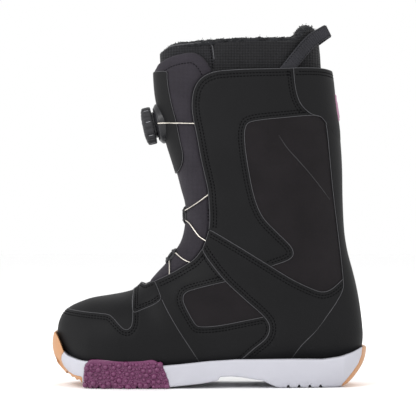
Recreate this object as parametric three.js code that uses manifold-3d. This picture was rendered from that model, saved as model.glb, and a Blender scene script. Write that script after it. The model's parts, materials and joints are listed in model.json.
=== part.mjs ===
// Snowboard boot for the left foot: a stitched soft shell on a cupped foam sole, a liner that sits in the shell,
// and a cable lace that a dial on the tongue winds up.
// Millimetres. +Z is up, the toe points to -X, the outer side of the foot faces -Y, and the boot stands on Z = 0.
import * as THREE from "three";
import { mergeVertices } from "three/addons/utils/BufferGeometryUtils.js";
import Module from "manifold-3d";

const wasm = await Module();
wasm.setup();

// ---------------------------------------------------------------- driving dimensions
const BOOT_LENGTH = 300; // toe bumper to heel bumper
const BOOT_HEIGHT = 300; // ground to the shell's collar
const BOOT_WIDTH = 108; // across the sole at the ball of the foot
const SEAM_GAP = 0.3; // between stitched panels, and between faces that touch
const SHELL_WALL = 2.6;
const TONGUE_DROP = 6; // the tongue's face below the shell's, which leaves room for lace and guides
const TONGUE_WALL = 5;
const TONGUE_OPENING = 0.5; // between the tongue's edge and the quarters
const PAD_WALL = 1.1; // the smooth overlay down the middle of the tongue
const WING_DROP = 5.8; // the same drop at the tongue's sides
const WING_WALL = 3.2;
const FLAP_WALL = 2; // the liner's front flap
const FLAP_GAP = 0.5; // between the flap and the tongue
const LINER_WALL = 7.5;
const LINER_SOLE = 4;
const FLEECE_WALL = 2.6;
const FOOTBED_WALL = 4;
const COUNTER_WALL = 2.3; // heel counter and toe puff
const SOLE_WALL = 3; // the foam cup's rim outside the shell
const GRIP_WALL = 4; // the studded forefoot insert
const LUG_HEIGHT = 2.6;
const LACE_DIAMETER = 1.2;
const CORD_BEND = 1.1; // how finely the lace's bends are drawn
const GUIDE_WALL = 0.4;
const GUIDE_HEIGHT = 3.6; // the tongue's guides above the tongue
const GUIDE_WIDTH = 19;
const GUIDE_CLEARANCE = 0.3; // between the lace and its guides
const WEBBING_WIDTH = 12.5;
const WEBBING_WALL = 1.5;
const BADGE_WIDTH = 22;
const BADGE_WALL = 0.9;
const DIAL_HEIGHT = 250.6; // where the dial's axis meets the tongue, above the ground
const DIAL_TILT = 12; // degrees that the dial faces below the horizon
const BASE_RADIUS = 19.5;
const KNOB_RADIUS = 18.1;
const GRIP_RING = 2.1;
const CAP_RADIUS = 12.6;
const HOUSING_RADIUS = 12.6;
const SPOOL_RADIUS = 9.7;
const SPOOL_CORE = 6;
const AXLE_RADIUS = 1.9;
const DIAL_CLEARANCE = 0.35; // between the dial's moving pieces

// ---------------------------------------------------------------- grading
// Every outline below is drawn for a boot of these sizes and graded to the sizes above.
const DRAWN = { length: 300, height: 300, width: 108 };
const gradeX = BOOT_LENGTH / DRAWN.length;
const gradeY = BOOT_WIDTH / DRAWN.width;
const gradeZ = BOOT_HEIGHT / DRAWN.height;
const graded = (points) => points.map(([x, z]) => new THREE.Vector2(x * gradeX, z * gradeZ));
const smooth = (points, steps) => new THREE.SplineCurve(graded(points)).getPoints(steps * (points.length - 1));

// ---------------------------------------------------------------- sections of the last
// The boot is cut by planes at right angles to the side view: level ones down to the ankle, then a fan about a
// point in front of the instep, then upright ones to the toe. A plane's station runs on in mm from leg to toe.
const FAN = { x: -104 * gradeX, z: 178 * gradeZ, radius: 150 };
const FAN_END = (FAN.radius * Math.PI) / 2;
const LEG_TOP = -172 * gradeZ;

function stationOf(x, z) {
  if (z >= FAN.z) return { q: FAN.z - z, s: x - FAN.x };
  if (x <= FAN.x) return { q: FAN_END + FAN.x - x, s: FAN.z - z };
  return { q: FAN.radius * Math.atan2(FAN.z - z, x - FAN.x), s: Math.hypot(x - FAN.x, FAN.z - z) };
}

function pointAt(q, s) {
  if (q <= 0) return new THREE.Vector2(FAN.x + s, FAN.z - q);
  if (q >= FAN_END) return new THREE.Vector2(FAN.x - (q - FAN_END), FAN.z - s);
  const turn = q / FAN.radius;
  return new THREE.Vector2(FAN.x + s * Math.cos(turn), FAN.z - s * Math.sin(turn));
}

const fanStation = (degrees) => (FAN.radius * degrees * Math.PI) / 180;

// A value that eases between [station, value] pairs.
function track(pairs) {
  return (q) => {
    const after = pairs.findIndex(([at]) => at >= q);
    if (after === 0) return pairs[0][1];
    if (after < 0) return pairs[pairs.length - 1][1];
    const [[q0, v0], [q1, v1]] = [pairs[after - 1], pairs[after]];
    return v0 + (v1 - v0) * THREE.MathUtils.smoothstep(q, q0, q1);
  };
}

// The line down the front and over the toe, and the line down the back and under the sole.
const FRONT_LINE = smooth([
  [-58, 352], [-58, 330], [-58, 312], [-57.5, 293], [-56, 276], [-53, 261], [-49, 246], [-45, 230], [-40, 214],
  [-36, 201], [-32, 188], [-29, 176], [-28, 166], [-28, 156], [-29.5, 147], [-33, 138], [-39, 129], [-46, 120],
  [-54, 111], [-60, 104], [-65, 97], [-71, 92], [-80, 89], [-94, 86.5], [-110, 84], [-121, 80.5], [-131, 76],
  [-137, 71.5], [-141, 66], [-144, 58], [-145, 48],
], 8);
const BACK_LINE = smooth([
  [114, 352], [116, 330], [118, 305], [120, 287], [122, 268], [125, 247], [127, 225], [128, 205], [128.5, 178],
  [130, 148], [133, 128], [138, 109], [142, 92], [145, 75], [147, 58], [147.5, 45], [145, 34], [136, 27],
  [115, 24], [80, 23], [40, 21.5], [0, 20], [-40, 18.5], [-80, 18], [-108, 20], [-126, 26], [-137, 33],
  [-143, 40], [-145, 48],
], 8);

const HALF_WIDTH = track([
  [LEG_TOP, 57.5], [-122 * gradeZ, 58], [-60 * gradeZ, 55.5], [0, 49.5], [fanStation(16), 46], [fanStation(32), 43.5],
  [fanStation(50), 44], [fanStation(64), 47.5], [fanStation(76), 51], [FAN_END, 51.5],
]);
const CENTRE = track([
  [0, 0], [fanStation(40), 1], [fanStation(62), 0], [fanStation(80), -1], [FAN_END + 6, 1], [FAN_END + 40, 9],
]);
const WIDEST = track([
  [0, 0.5], [fanStation(16), 0.5], [fanStation(30), 0.56], [fanStation(46), 0.64], [FAN_END, 0.68],
  [FAN_END + 40, 0.6],
]);
const ROUND_ABOVE = track([[0, 2.3], [fanStation(20), 2.15], [fanStation(45), 2], [FAN_END, 2.1]]);
const ROUND_BELOW = track([[0, 2.3], [fanStation(20), 2.6], [fanStation(36), 3.6], [fanStation(52), 5.5],
  [FAN_END + 20, 5], [FAN_END + 40, 3]]);
const TOE_START = fanStation(80);

// A line moved inwards by a depth that may vary along it. hand is 1 on the front line and -1 on the back line.
function movedIn(line, depth, hand) {
  return line.map((p, i) => {
    const along = line[Math.min(i + 1, line.length - 1)].clone().sub(line[Math.max(i - 1, 0)]).normalize();
    const d = depth(stationOf(p.x, p.y).q) * hand;
    return stationOf(p.x - along.y * d, p.y + along.x * d);
  });
}

// Where a line crosses the plane at station q, counted along the plane; pick takes the innermost crossing.
function crossing(line, q, pick) {
  const found = [];
  for (let i = 1; i < line.length; i++) {
    const [a, b] = [line[i - 1], line[i]];
    if ((a.q - q) * (b.q - q) <= 0 && a.q !== b.q) found.push(a.s + ((b.s - a.s) * (q - a.q)) / (b.q - a.q));
  }
  return found.length ? pick(...found) : null;
}

// The last's surface moved inwards by front, back and side depths, each a number or a track.
function surface({ front, back = front, side = front }) {
  const read = (v) => (typeof v === "number" ? () => v : v);
  const frontLine = movedIn(FRONT_LINE, read(front), 1);
  const backLine = movedIn(BACK_LINE, read(back), -1);
  const sideDepth = read(side);
  const span = (q) => {
    const from = crossing(frontLine, q, Math.max);
    const to = crossing(backLine, q, Math.min);
    return from === null || to === null || to - from < 0.02 ? null : { from, to };
  };
  let tip = FAN_END;
  for (let step = 16; step > 0.01; step /= 2) while (span(tip + step)) tip += step;
  const halfWidth = (q) => {
    const along = Math.max(0, (q - TOE_START) / (tip - TOE_START));
    return (HALF_WIDTH(q) * gradeY - sideDepth(q)) * (1 - Math.min(along, 1) ** 2.3) ** (1 / 2.2);
  };
  return { span, tip, halfWidth };
}

// ---------------------------------------------------------------- solids
function solidOf(geometry) {
  const bare = geometry.index ? geometry.toNonIndexed() : geometry.clone();
  bare.deleteAttribute("normal");
  bare.deleteAttribute("uv");
  const merged = mergeVertices(bare, 1e-4);
  return new wasm.Manifold(new wasm.Mesh({
    numProp: 3,
    vertProperties: merged.attributes.position.array,
    triVerts: new Uint32Array(merged.index.array),
  }));
}

function geometryOf(solid) {
  const { vertProperties, triVerts } = solid.getMesh();
  return new THREE.BufferGeometry()
    .setAttribute("position", new THREE.BufferAttribute(vertProperties, 3))
    .setIndex(new THREE.BufferAttribute(triVerts, 1));
}

// A closed solid through rings of points that run the same way round, each end closed on its own middle.
function loft(rings) {
  const count = rings[0].length;
  const middle = (ring) => ring.reduce((sum, p) => sum.add(p), new THREE.Vector3()).divideScalar(count);
  const points = [...rings.flat(), middle(rings[0]), middle(rings[rings.length - 1])];
  const faces = [];
  const [first, last] = [points.length - 2, points.length - 1];
  for (let i = 0; i < count; i++) {
    const j = (i + 1) % count;
    faces.push(first, i, j);
    faces.push(last, (rings.length - 1) * count + j, (rings.length - 1) * count + i);
    for (let r = 0; r < rings.length - 1; r++) {
      const [a, b] = [r * count, (r + 1) * count];
      faces.push(a + i, b + i, b + j, a + i, b + j, a + j);
    }
  }
  const geometry = new THREE.BufferGeometry().setFromPoints(points).setIndex(faces);
  const made = solidOf(geometry);
  return made.volume() > 0 ? made : solidOf(geometry.clone().setIndex([...faces].reverse()));
}

const FAN_CUTS = [10, 19, 26, 29, 31, 33.5, 39, 48, 58, 68, 79]; // closer together round the heel's corner
const RING_SIDE = 8; // points down each side of a ring
function ringOf(made, q) {
  const { from, to } = made.span(q);
  const widest = WIDEST(q);
  const ring = [];
  for (let i = 0; i < 2 * RING_SIDE; i++) {
    const turn = (i * Math.PI) / RING_SIDE;
    const cos = Math.cos(turn);
    const above = cos >= 0;
    const power = above ? ROUND_ABOVE(q) : ROUND_BELOW(q);
    const reach = Math.abs(cos) ** (2 / power);
    const share = above ? widest * (1 - reach) : widest + (1 - widest) * reach;
    const out = Math.abs(Math.sin(turn)) ** (2 / power) * (i <= RING_SIDE ? -1 : 1);
    const p = pointAt(q, from + share * (to - from));
    ring.push(new THREE.Vector3(p.x, CENTRE(q) * gradeY + made.halfWidth(q) * out, p.y));
  }
  return ring;
}

// The surface as a solid, from above the collar to the toe.
function lastSolid(depths) {
  const made = surface(depths);
  const stations = [];
  for (let i = 0; i <= 5; i++) stations.push(LEG_TOP * (1 - i / 5));
  for (const degrees of FAN_CUTS) stations.push(fanStation(degrees));
  for (let i = 0; i <= 4; i++) stations.push(FAN_END + (made.tip - FAN_END) * Math.sin((i / 4.4) * (Math.PI / 2)));
  stations.push(made.tip - 0.05);
  return loft(stations.map((q) => ringOf(made, q)));
}

// Finds points on such a solid from places drawn in the side view.
function probe(depths) {
  const mesh = new THREE.Mesh(geometryOf(lastSolid(depths)), new THREE.MeshBasicMaterial({ side: THREE.DoubleSide }));
  const hit = (from, towards) => new THREE.Raycaster(from, towards).intersectObject(mesh)[0].point;
  return {
    // on the foot's outer side (-1) or its inner side (1)
    onSide: ([x, z], side) => hit(new THREE.Vector3(x * gradeX, side * FAR, z * gradeZ), new THREE.Vector3(0, -side, 0)),
    // on the front of the section through the place, y across the boot
    onFront: ([x, z], y) => {
      const { q } = stationOf(x * gradeX, z * gradeZ);
      const [before, after] = [pointAt(q, -60), pointAt(q, 60)];
      const towards = new THREE.Vector3(after.x - before.x, 0, after.y - before.y).normalize();
      return hit(new THREE.Vector3(before.x, CENTRE(q) * gradeY + y, before.y), towards);
    },
  };
}

// An outline in the side view, extruded across the boot from y0 to y1.
const FAR = 200;
function across(outline, y0 = -FAR, y1 = FAR) {
  const shape = new THREE.Shape(THREE.ShapeUtils.isClockWise(outline) ? [...outline].reverse() : outline);
  const geometry = new THREE.ExtrudeGeometry(shape, { depth: y1 - y0, bevelEnabled: false });
  return solidOf(geometry.rotateX(Math.PI / 2).translate(0, y1, 0));
}

// A line in the side view with a width, extruded across the boot. A line that ends where it began is a loop.
function seam(line, width = SEAM_GAP) {
  const last = line.length - 1;
  const loop = line[0].distanceTo(line[last]) < 1e-6;
  const edge = (hand) => line.map((p, i) => {
    const before = line[i > 0 ? i - 1 : loop ? last - 1 : 0];
    const after = line[i < last ? i + 1 : loop ? 1 : last];
    const along = after.clone().sub(before).normalize();
    return new THREE.Vector2(p.x - along.y * hand, p.y + along.x * hand);
  });
  const [left, right] = [edge(width / 2), edge(-width / 2)];
  if (!loop) return across([...left, ...right.reverse()]);
  const [one, other] = [across(left.slice(1)), across(right.slice(1))];
  return one.volume() > other.volume() ? one.subtract(other) : other.subtract(one);
}

const joined = (solids) => solids.reduce((sum, solid) => sum.add(solid));
const biggest = (solid) => solid.decompose().sort((a, b) => b.volume() - a.volume())[0];

// The points of a line that it needs to turn by no more than CORD_BEND at each.
function thinned(points) {
  const kept = [points[0]];
  for (let i = 1; i < points.length - 1; i++) {
    const before = points[i].clone().sub(kept[kept.length - 1]);
    const after = points[i + 1].clone().sub(points[i]);
    if (before.angleTo(after) * before.length() > CORD_BEND) kept.push(points[i]);
  }
  return [...kept, points[points.length - 1]];
}

// A round cord along points that lie close together where it bends.
function cord(points, radius, sides = 6) {
  let across3 = new THREE.Vector3(0, 0, 1);
  const rings = points.map((p, i) => {
    const along = points[Math.min(i + 1, points.length - 1)].clone().sub(points[Math.max(i - 1, 0)]).normalize();
    across3 = across3.clone().addScaledVector(along, -across3.dot(along)).normalize();
    const other = new THREE.Vector3().crossVectors(along, across3);
    return Array.from({ length: sides }, (_, k) => {
      const turn = (k / sides) * 2 * Math.PI;
      return p.clone().addScaledVector(across3, radius * Math.cos(turn)).addScaledVector(other, radius * Math.sin(turn));
    });
  });
  return loft(rings);
}

// ---------------------------------------------------------------- materials
const paint = (hex, roughness, metalness = 0) => new THREE.MeshStandardMaterial({ color: hex, roughness, metalness });
const MATERIALS = {
  synthetic: paint(0x1c1d1e, 0.62),
  softshell: paint(0x201d1f, 0.85),
  tongueFabric: paint(0x2b292f, 0.8),
  dialPlastic: paint(0x1d1d20, 0.4),
  dialRubber: paint(0x242327, 0.7),
  steel: paint(0xb8b2a6, 0.35, 0.9),
  foam: paint(0xe6e6ec, 0.6),
  gum: paint(0xd08a4e, 0.55),
  purple: paint(0x6b2b57, 0.5),
  liner: paint(0x161616, 0.9),
  fleece: paint(0x191b1e, 1),
  webbing: paint(0x1f1f22, 0.75),
  board: paint(0x3a3a3a, 0.8),
  badge: paint(0xb98fa2, 0.6),
};

const boot = new THREE.Group();
boot.name = "snowboard_boot";

function place(name, shape, material, parent = boot) {
  const geometry = shape.isBufferGeometry ? shape : geometryOf(shape);
  const mesh = new THREE.Mesh(geometry, material);
  mesh.name = name;
  parent.add(mesh);
  return mesh;
}

// ---------------------------------------------------------------- outlines in the side view
// The front edge of the quarters, from the collar's corner down to the throat.
const QUARTER_EDGE = [
  [9, 297.5], [0, 295], [-8, 289.5], [-13, 281], [-15, 270], [-14.5, 257], [-11, 240], [-7, 218], [-3, 200],
  [0, 186], [1, 172], [1.5, 158], [0, 146], [-4, 134], [-12, 122], [-22, 115], [-36, 107], [-50, 100.5], [-60, 96],
];
const COLLAR_LINE = [[9, 297.5], [30, 299], [63, 300], [85, 301], [106, 301.5], [122, 299.5], [150, 296]];
const OPENING = [
  ...graded(QUARTER_EDGE),
  ...graded([[-66, 99], [-100, 130], [-150, 200], [-150, 400], [200, 400]]),
  ...graded(COLLAR_LINE).reverse().slice(0, -1),
];
const SEAMS = {
  yoke: [[80, 308], [80, 300], [82, 281], [87, 267], [97, 258], [106, 256], [112, 249], [118, 239], [128, 233],
    [142, 230]],
  cuff: [[-8, 153], [3, 148], [30, 132], [56, 116], [79, 102], [98, 93], [108, 90], [117, 93], [127.5, 102]],
  backstay: [[109, 256], [112, 244], [118, 186], [124, 138], [127.5, 104], [127.5, 93], [122, 82], [113, 69],
    [101, 53], [89, 41], [80, 29], [72, 14]],
  midfoot: [[-12, 142], [-2, 124], [15, 102], [34, 84], [52, 68], [58, 58], [55, 47], [42, 36], [24, 20]],
  forefoot: [[-58, 112], [-50, 98], [-42, 79], [-29, 56], [-12, 30], [-2, 14]],
  vamp: [[-156, 76], [-136, 73], [-117, 71], [-104, 70], [-93, 68.5], [-86, 62], [-80, 56], [-75, 55], [-71.5, 60],
    [-71, 70], [-72, 82], [-71, 91], [-71, 102]],
  saddle: [[-71.3, 70], [-60, 74.5], [-50, 79], [-43.5, 84]],
  midfootWindow: [[-24, 85], [-20, 91], [-5, 95], [8, 97], [20, 91.5], [35, 80], [49, 69.5], [48.5, 66.5], [34, 63],
    [10, 58.5], [-8, 57.5], [-13, 61], [-22, 77], [-24, 85]],
  cuffWindow: [[53, 110], [60, 115], [74, 120], [80, 125], [78, 133], [64, 147], [51, 161], [43, 180], [37, 209],
    [34, 232], [35, 246], [42, 251], [72, 254.5], [100, 257], [110, 253.5]],
};
// Where the shell's panels stop and the lasting board under the foot begins.
const SOLE_LINE = [
  [160, 40], [146, 38.5], [134, 31], [115, 27.6], [80, 26.6], [40, 25.1], [0, 23.6], [-40, 22.1], [-80, 21.6],
  [-108, 23.6], [-126, 29.6], [-138, 38], [-152, 47],
];

// ---------------------------------------------------------------- shell
const shellOuter = lastSolid({ front: 0 });
const shellInner = lastSolid({ front: SHELL_WALL });

function makeShell() {
  const skin = shellOuter.subtract(shellInner).subtract(across(OPENING));
  const below = (drop) => across([...graded(SOLE_LINE.map(([x, z]) => [x, z - drop])), ...graded([[-160, -20],
    [170, -20]])]);
  place("lasting_board", biggest(skin.intersect(below(SEAM_GAP))), MATERIALS.board);
  const cuts = joined([below(0), ...Object.values(SEAMS).map((line) => seam(graded(line)))]);
  const panels = skin.subtract(cuts).decompose();
  // A panel is named by a place on it in the side view; paired panels have one on each side of the foot.
  const named = [
    ["collar_yoke", 100, 280, "synthetic"], ["backstay", 130, 60, "synthetic"], ["toe_cap", -90, 45, "synthetic"],
    ["vamp", -100, 78, "synthetic"], ["throat_saddle", -60, 84, "synthetic"],
  ];
  const paired = [
    ["cuff", 10, 220, "synthetic"], ["cuff_window", 75, 190, "softshell"], ["rear_quarter", 75, 70, "synthetic"],
    ["midfoot_quarter", -20, 48, "synthetic"], ["midfoot_window", 10, 80, "softshell"],
  ];
  const marker = (x, z, y0, y1) => {
    const [px, pz] = [x * gradeX, z * gradeZ];
    return across([[-1, -1], [1, -1], [1, 1], [-1, 1]].map(([i, j]) => new THREE.Vector2(px + i, pz + j)), y0, y1);
  };
  const panelAt = (spot) => panels.find((panel) => panel.intersect(spot).volume() > 1e-3);
  for (const [name, x, z, material] of named) place(name, panelAt(marker(x, z, -FAR, FAR)), MATERIALS[material]);
  for (const [name, x, z, material] of paired) {
    place(name + "_outer", panelAt(marker(x, z, -FAR, 0)), MATERIALS[material]);
    place(name + "_inner", panelAt(marker(x, z, 0, FAR)), MATERIALS[material]);
  }
}
makeShell();

// Moulded stiffeners between the shell and the liner.
const stiffenerSkin = lastSolid({ front: SHELL_WALL + SEAM_GAP })
  .subtract(lastSolid({ front: SHELL_WALL + SEAM_GAP + COUNTER_WALL }));
place("heel_counter", stiffenerSkin.intersect(across(graded([
  [160, 100], [128, 97], [108, 88], [92, 70], [82, 54], [86, 48], [130, 47], [160, 52],
]))), MATERIALS.board);
place("toe_puff", stiffenerSkin.intersect(across(graded([
  [-160, 90], [-112, 92], [-104, 80], [-102, 60], [-104, 42], [-112, 38], [-135, 44], [-160, 52],
]))), MATERIALS.board);

// ---------------------------------------------------------------- tongue
const depthOf = (front, side) => ({ front, back: front, side });
const TONGUE_FACE = depthOf(TONGUE_DROP, WING_DROP);
const TONGUE_BACK = depthOf(TONGUE_DROP + TONGUE_WALL, WING_DROP + WING_WALL);
const PAD_FACE = depthOf(TONGUE_DROP - SEAM_GAP - PAD_WALL, WING_DROP - SEAM_GAP - PAD_WALL);
const lowered = (depth, by) => depthOf(depth.front + by, depth.side + by);
const skinBetween = (outer, inner) => lastSolid(outer).subtract(lastSolid(inner));

// In front of the quarters' edge, moved forwards by a clearance.
const aheadOf = (clearance) => [
  ...graded(QUARTER_EDGE.map(([x, z]) => [x - clearance, z + clearance / 2])),
  ...graded([[-66, 97.5], [-100, 130], [-150, 200], [-150, 400], [9, 400]]),
];
const TONGUE_TOP = [[-75, 299], [-56, 300], [-51, 303], [-48, 307], [-37, 312.5], [-22, 315.5], [-12, 315], [-3, 308],
  [4, 296], [9, 285]];

function makeTongue() {
  const over = across([...graded(TONGUE_TOP), ...graded([[9, 400], [-150, 400]])]);
  const ahead = across(aheadOf(TONGUE_OPENING));
  place("tongue", skinBetween(TONGUE_FACE, TONGUE_BACK).intersect(ahead).subtract(over), MATERIALS.tongueFabric);
  const padOutline = graded([
    [-80, 299], [-41, 299], [-39.5, 294], [-38, 282], [-34.5, 265], [-31, 252], [-26.5, 230], [-24.5, 221],
    [-25.5, 211], [-31, 203], [-45, 200], [-80, 199],
  ]);
  place("tongue_pad", skinBetween(PAD_FACE, lowered(PAD_FACE, PAD_WALL)).intersect(across(padOutline)),
    MATERIALS.synthetic);
}
makeTongue();

// ---------------------------------------------------------------- liner
const FLAP_FACE = lowered(TONGUE_BACK, FLAP_GAP);
const FLAP_OUTLINE = [
  [-90, 340], [-40, 340], [-8, 338], [2, 330], [4, 322], [6, 307], [7, 296], [3, 282], [-8, 268], [-24, 262],
  [-90, 262],
];
const SOCK = SHELL_WALL + COUNTER_WALL + 3 * SEAM_GAP; // the liner's depth under a stiffener
const linerFace = {
  front: track([[fanStation(58), FLAP_FACE.front], [fanStation(68), SOCK]]),
  back: track([[-130 * gradeZ, 10], [-60 * gradeZ, 7.5], [fanStation(20), SOCK], [fanStation(34), SOCK],
    [fanStation(43), SHELL_WALL + SEAM_GAP], [FAN_END, SHELL_WALL + SEAM_GAP], [FAN_END + 30, SOCK]]),
  side: track([[fanStation(10), SHELL_WALL + 4.6], [fanStation(30), SOCK]]),
};
const soleLayer = (wall, sole) => track([
  [fanStation(31), wall], [fanStation(40), sole], [FAN_END, sole], [FAN_END + 30, wall],
]);
const inside = (wall, sole) => ({
  front: (q) => linerFace.front(q) + wall,
  back: (q) => linerFace.back(q) + soleLayer(wall, sole)(q),
  side: (q) => linerFace.side(q) + wall,
});
const LINER_TOP = [
  [-62, 313], [-48, 315.5], [-40, 320], [-32, 322.5], [-8, 324], [30, 326], [68, 327], [84, 328.5], [90, 335],
  [97, 339.5], [104, 338], [112, 333], [126, 330],
];
const topOff = (rise) => across([
  ...graded(LINER_TOP.map(([x, z]) => [x, z + rise])), ...graded([[200, 330], [200, 420], [-150, 420], [-150, 313]]),
]);

function makeLiner() {
  const tongueRoom = across(aheadOf(-TONGUE_OPENING)).subtract(lastSolid(FLAP_FACE));
  const flapRoom = across(graded(FLAP_OUTLINE.map(([x, z]) => [x + 2, z - 1])))
    .subtract(lastSolid(lowered(FLAP_FACE, FLAP_WALL + SEAM_GAP)));
  const body = lastSolid(linerFace).subtract(lastSolid(inside(LINER_WALL, LINER_SOLE)));
  place("liner_body", body.subtract(topOff(0)).subtract(tongueRoom).subtract(flapRoom), MATERIALS.liner);

  const flapSkin = skinBetween(FLAP_FACE, lowered(FLAP_FACE, FLAP_WALL));
  place("liner_flap", flapSkin.intersect(across(graded(FLAP_OUTLINE))).subtract(topOff(-1)), MATERIALS.liner);

  const fleece = LINER_WALL + SEAM_GAP;
  place("liner_fleece_collar", lastSolid(inside(fleece, fleece))
    .subtract(lastSolid(inside(fleece + FLEECE_WALL, fleece + FLEECE_WALL)))
    .intersect(across(graded([[-150, 262], [200, 262], [200, 420], [-150, 420]])))
    .subtract(topOff(2)), MATERIALS.fleece);

  const bedSkin = lastSolid(inside(LINER_WALL + SEAM_GAP, LINER_SOLE + SEAM_GAP))
    .subtract(lastSolid(inside(LINER_WALL - FOOTBED_WALL, LINER_SOLE + SEAM_GAP + FOOTBED_WALL)));
  const low = graded([[-118, 0], [128, 0], [128, 41], [100, 37], [0, 33], [-90, 31], [-118, 35]]);
  place("footbed", biggest(bedSkin.intersect(across(low))), MATERIALS.liner);
}
makeLiner();

// ---------------------------------------------------------------- dial
// Turned pieces are drawn as [radius, height] with the height along the dial's axis from the pad's face.
const dialStation = stationOf(0, DIAL_HEIGHT * gradeZ).q;
const dialFoot = pointAt(dialStation, surface(PAD_FACE).span(dialStation).from);
const dialTilt = THREE.MathUtils.degToRad(DIAL_TILT);
const DIAL_AXIS = new THREE.Vector3(-Math.cos(dialTilt), 0, -Math.sin(dialTilt));
const dialFrame = new THREE.Matrix4().compose(
  new THREE.Vector3(dialFoot.x, 0, dialFoot.y),
  new THREE.Quaternion().setFromUnitVectors(new THREE.Vector3(0, 1, 0), DIAL_AXIS),
  new THREE.Vector3(1, 1, 1),
);
const DIAL = {
  baseTop: 5, // the base's face, under the knob
  wellFloor: 1.4,
  spoolTop: 6.2,
  housingTop: 12,
  knobFoot: 7,
  knobTop: 16.8,
  plate: 2.2, // the knob's face
};

function turned(profile, segments = 20) {
  const points = profile.map(([r, h]) => new THREE.Vector2(r, h));
  if (points[0].x > 0) points.push(points[0].clone());
  return solidOf(new THREE.LatheGeometry(points, segments).applyMatrix4(dialFrame));
}

// A ribbed ring, drawn as a gear-like outline and extruded along the dial's axis.
function ribbedRing(bore, radius, rib, count, foot, top) {
  const circle = (r, n) => Array.from({ length: n }, (_, i) => {
    const turn = (i / n) * 2 * Math.PI;
    const reach = Array.isArray(r) ? r[i % 4 < 2 ? 0 : 1] : r;
    return new THREE.Vector2(reach * Math.cos(turn), reach * Math.sin(turn));
  });
  const shape = new THREE.Shape(circle([radius, radius - rib], 4 * count));
  shape.holes.push(new THREE.Path(circle(bore, 24)));
  const geometry = new THREE.ExtrudeGeometry(shape, { depth: top - foot, bevelEnabled: false });
  return solidOf(geometry.rotateX(-Math.PI / 2).translate(0, foot, 0).applyMatrix4(dialFrame));
}

function makeDial(laceRoom) {
  const { baseTop, wellFloor, spoolTop, housingTop, knobFoot, knobTop, plate } = DIAL;
  const c = DIAL_CLEARANCE;
  const well = HOUSING_RADIUS - 2.4;
  const base = turned([
    [0, -7], [BASE_RADIUS, -7], [BASE_RADIUS, 2.4], [BASE_RADIUS - 3.2, baseTop], [well, baseTop],
    [well, wellFloor], [AXLE_RADIUS + 0.3, wellFloor], [AXLE_RADIUS + 0.3, wellFloor - 0.8], [0, wellFloor - 0.8],
  ]);
  place("dial_base", base.subtract(lastSolid(lowered(PAD_FACE, -SEAM_GAP))).subtract(laceRoom), MATERIALS.dialPlastic);
  place("dial_axle", turned([
    [0, wellFloor - 0.5], [AXLE_RADIUS, wellFloor - 0.5], [AXLE_RADIUS, knobFoot + 2], [0, knobFoot + 2],
  ], 12), MATERIALS.steel);
  const shaft = 4.2;
  const flange = spoolTop - 1.1;
  place("lace_spool", turned([
    [shaft + c, wellFloor + c], [SPOOL_RADIUS, wellFloor + c], [SPOOL_RADIUS, wellFloor + c + 1],
    [SPOOL_CORE, wellFloor + c + 1.3], [SPOOL_CORE, flange - 0.3], [SPOOL_RADIUS, flange], [SPOOL_RADIUS, spoolTop],
    [shaft + c, spoolTop],
  ], 16), MATERIALS.dialPlastic);
  place("dial_housing", turned([
    [well, baseTop + SEAM_GAP], [HOUSING_RADIUS, baseTop + SEAM_GAP], [HOUSING_RADIUS, housingTop - 0.6],
    [HOUSING_RADIUS - 0.6, housingTop], [7.4, housingTop], [7.4, housingTop - 1.4], [well, housingTop - 1.8],
  ]), MATERIALS.dialPlastic);
  const underPlate = knobTop - plate - 0.3;
  place("dial_hub", turned([
    [AXLE_RADIUS + c, wellFloor + 0.9], [shaft, wellFloor + 0.9], [shaft, underPlate - 1.6], [6.6, underPlate - 1.6],
    [6.6, underPlate], [shaft, underPlate], [shaft, knobTop - 1.4], [AXLE_RADIUS + c, knobTop - 1.4],
  ], 16), MATERIALS.steel);
  const rim = KNOB_RADIUS - GRIP_RING - 0.3;
  place("dial_knob", turned([
    [HOUSING_RADIUS + c, knobFoot], [rim, knobFoot], [rim, knobTop - 0.6], [rim - 0.6, knobTop],
    [CAP_RADIUS + 0.3, knobTop], [CAP_RADIUS + 0.3, knobTop - 1.1], [shaft + c, knobTop - 1.1],
    [shaft + c, knobTop - plate], [HOUSING_RADIUS + c, knobTop - plate],
  ]), MATERIALS.dialPlastic);
  place("dial_grip", ribbedRing(rim + 0.3, KNOB_RADIUS, 0.7, 16, knobFoot, knobTop - 1), MATERIALS.dialRubber);
  place("dial_cap", turned([
    [0, knobTop - 0.8], [CAP_RADIUS, knobTop - 0.8], [CAP_RADIUS, knobTop + 0.1], [CAP_RADIUS - 1.5, knobTop + 0.6],
    [0, knobTop + 0.9],
  ]), MATERIALS.dialRubber);
}

// ---------------------------------------------------------------- lace and guides
const overPad = probe(lowered(PAD_FACE, -SEAM_GAP - LACE_DIAMETER / 2 - 0.5));
const LACE_DEPTH = SHELL_WALL + 2 * SEAM_GAP + GUIDE_CLEARANCE + GUIDE_WALL + LACE_DIAMETER / 2;
const laced = probe(depthOf(LACE_DEPTH, LACE_DEPTH));

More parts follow.
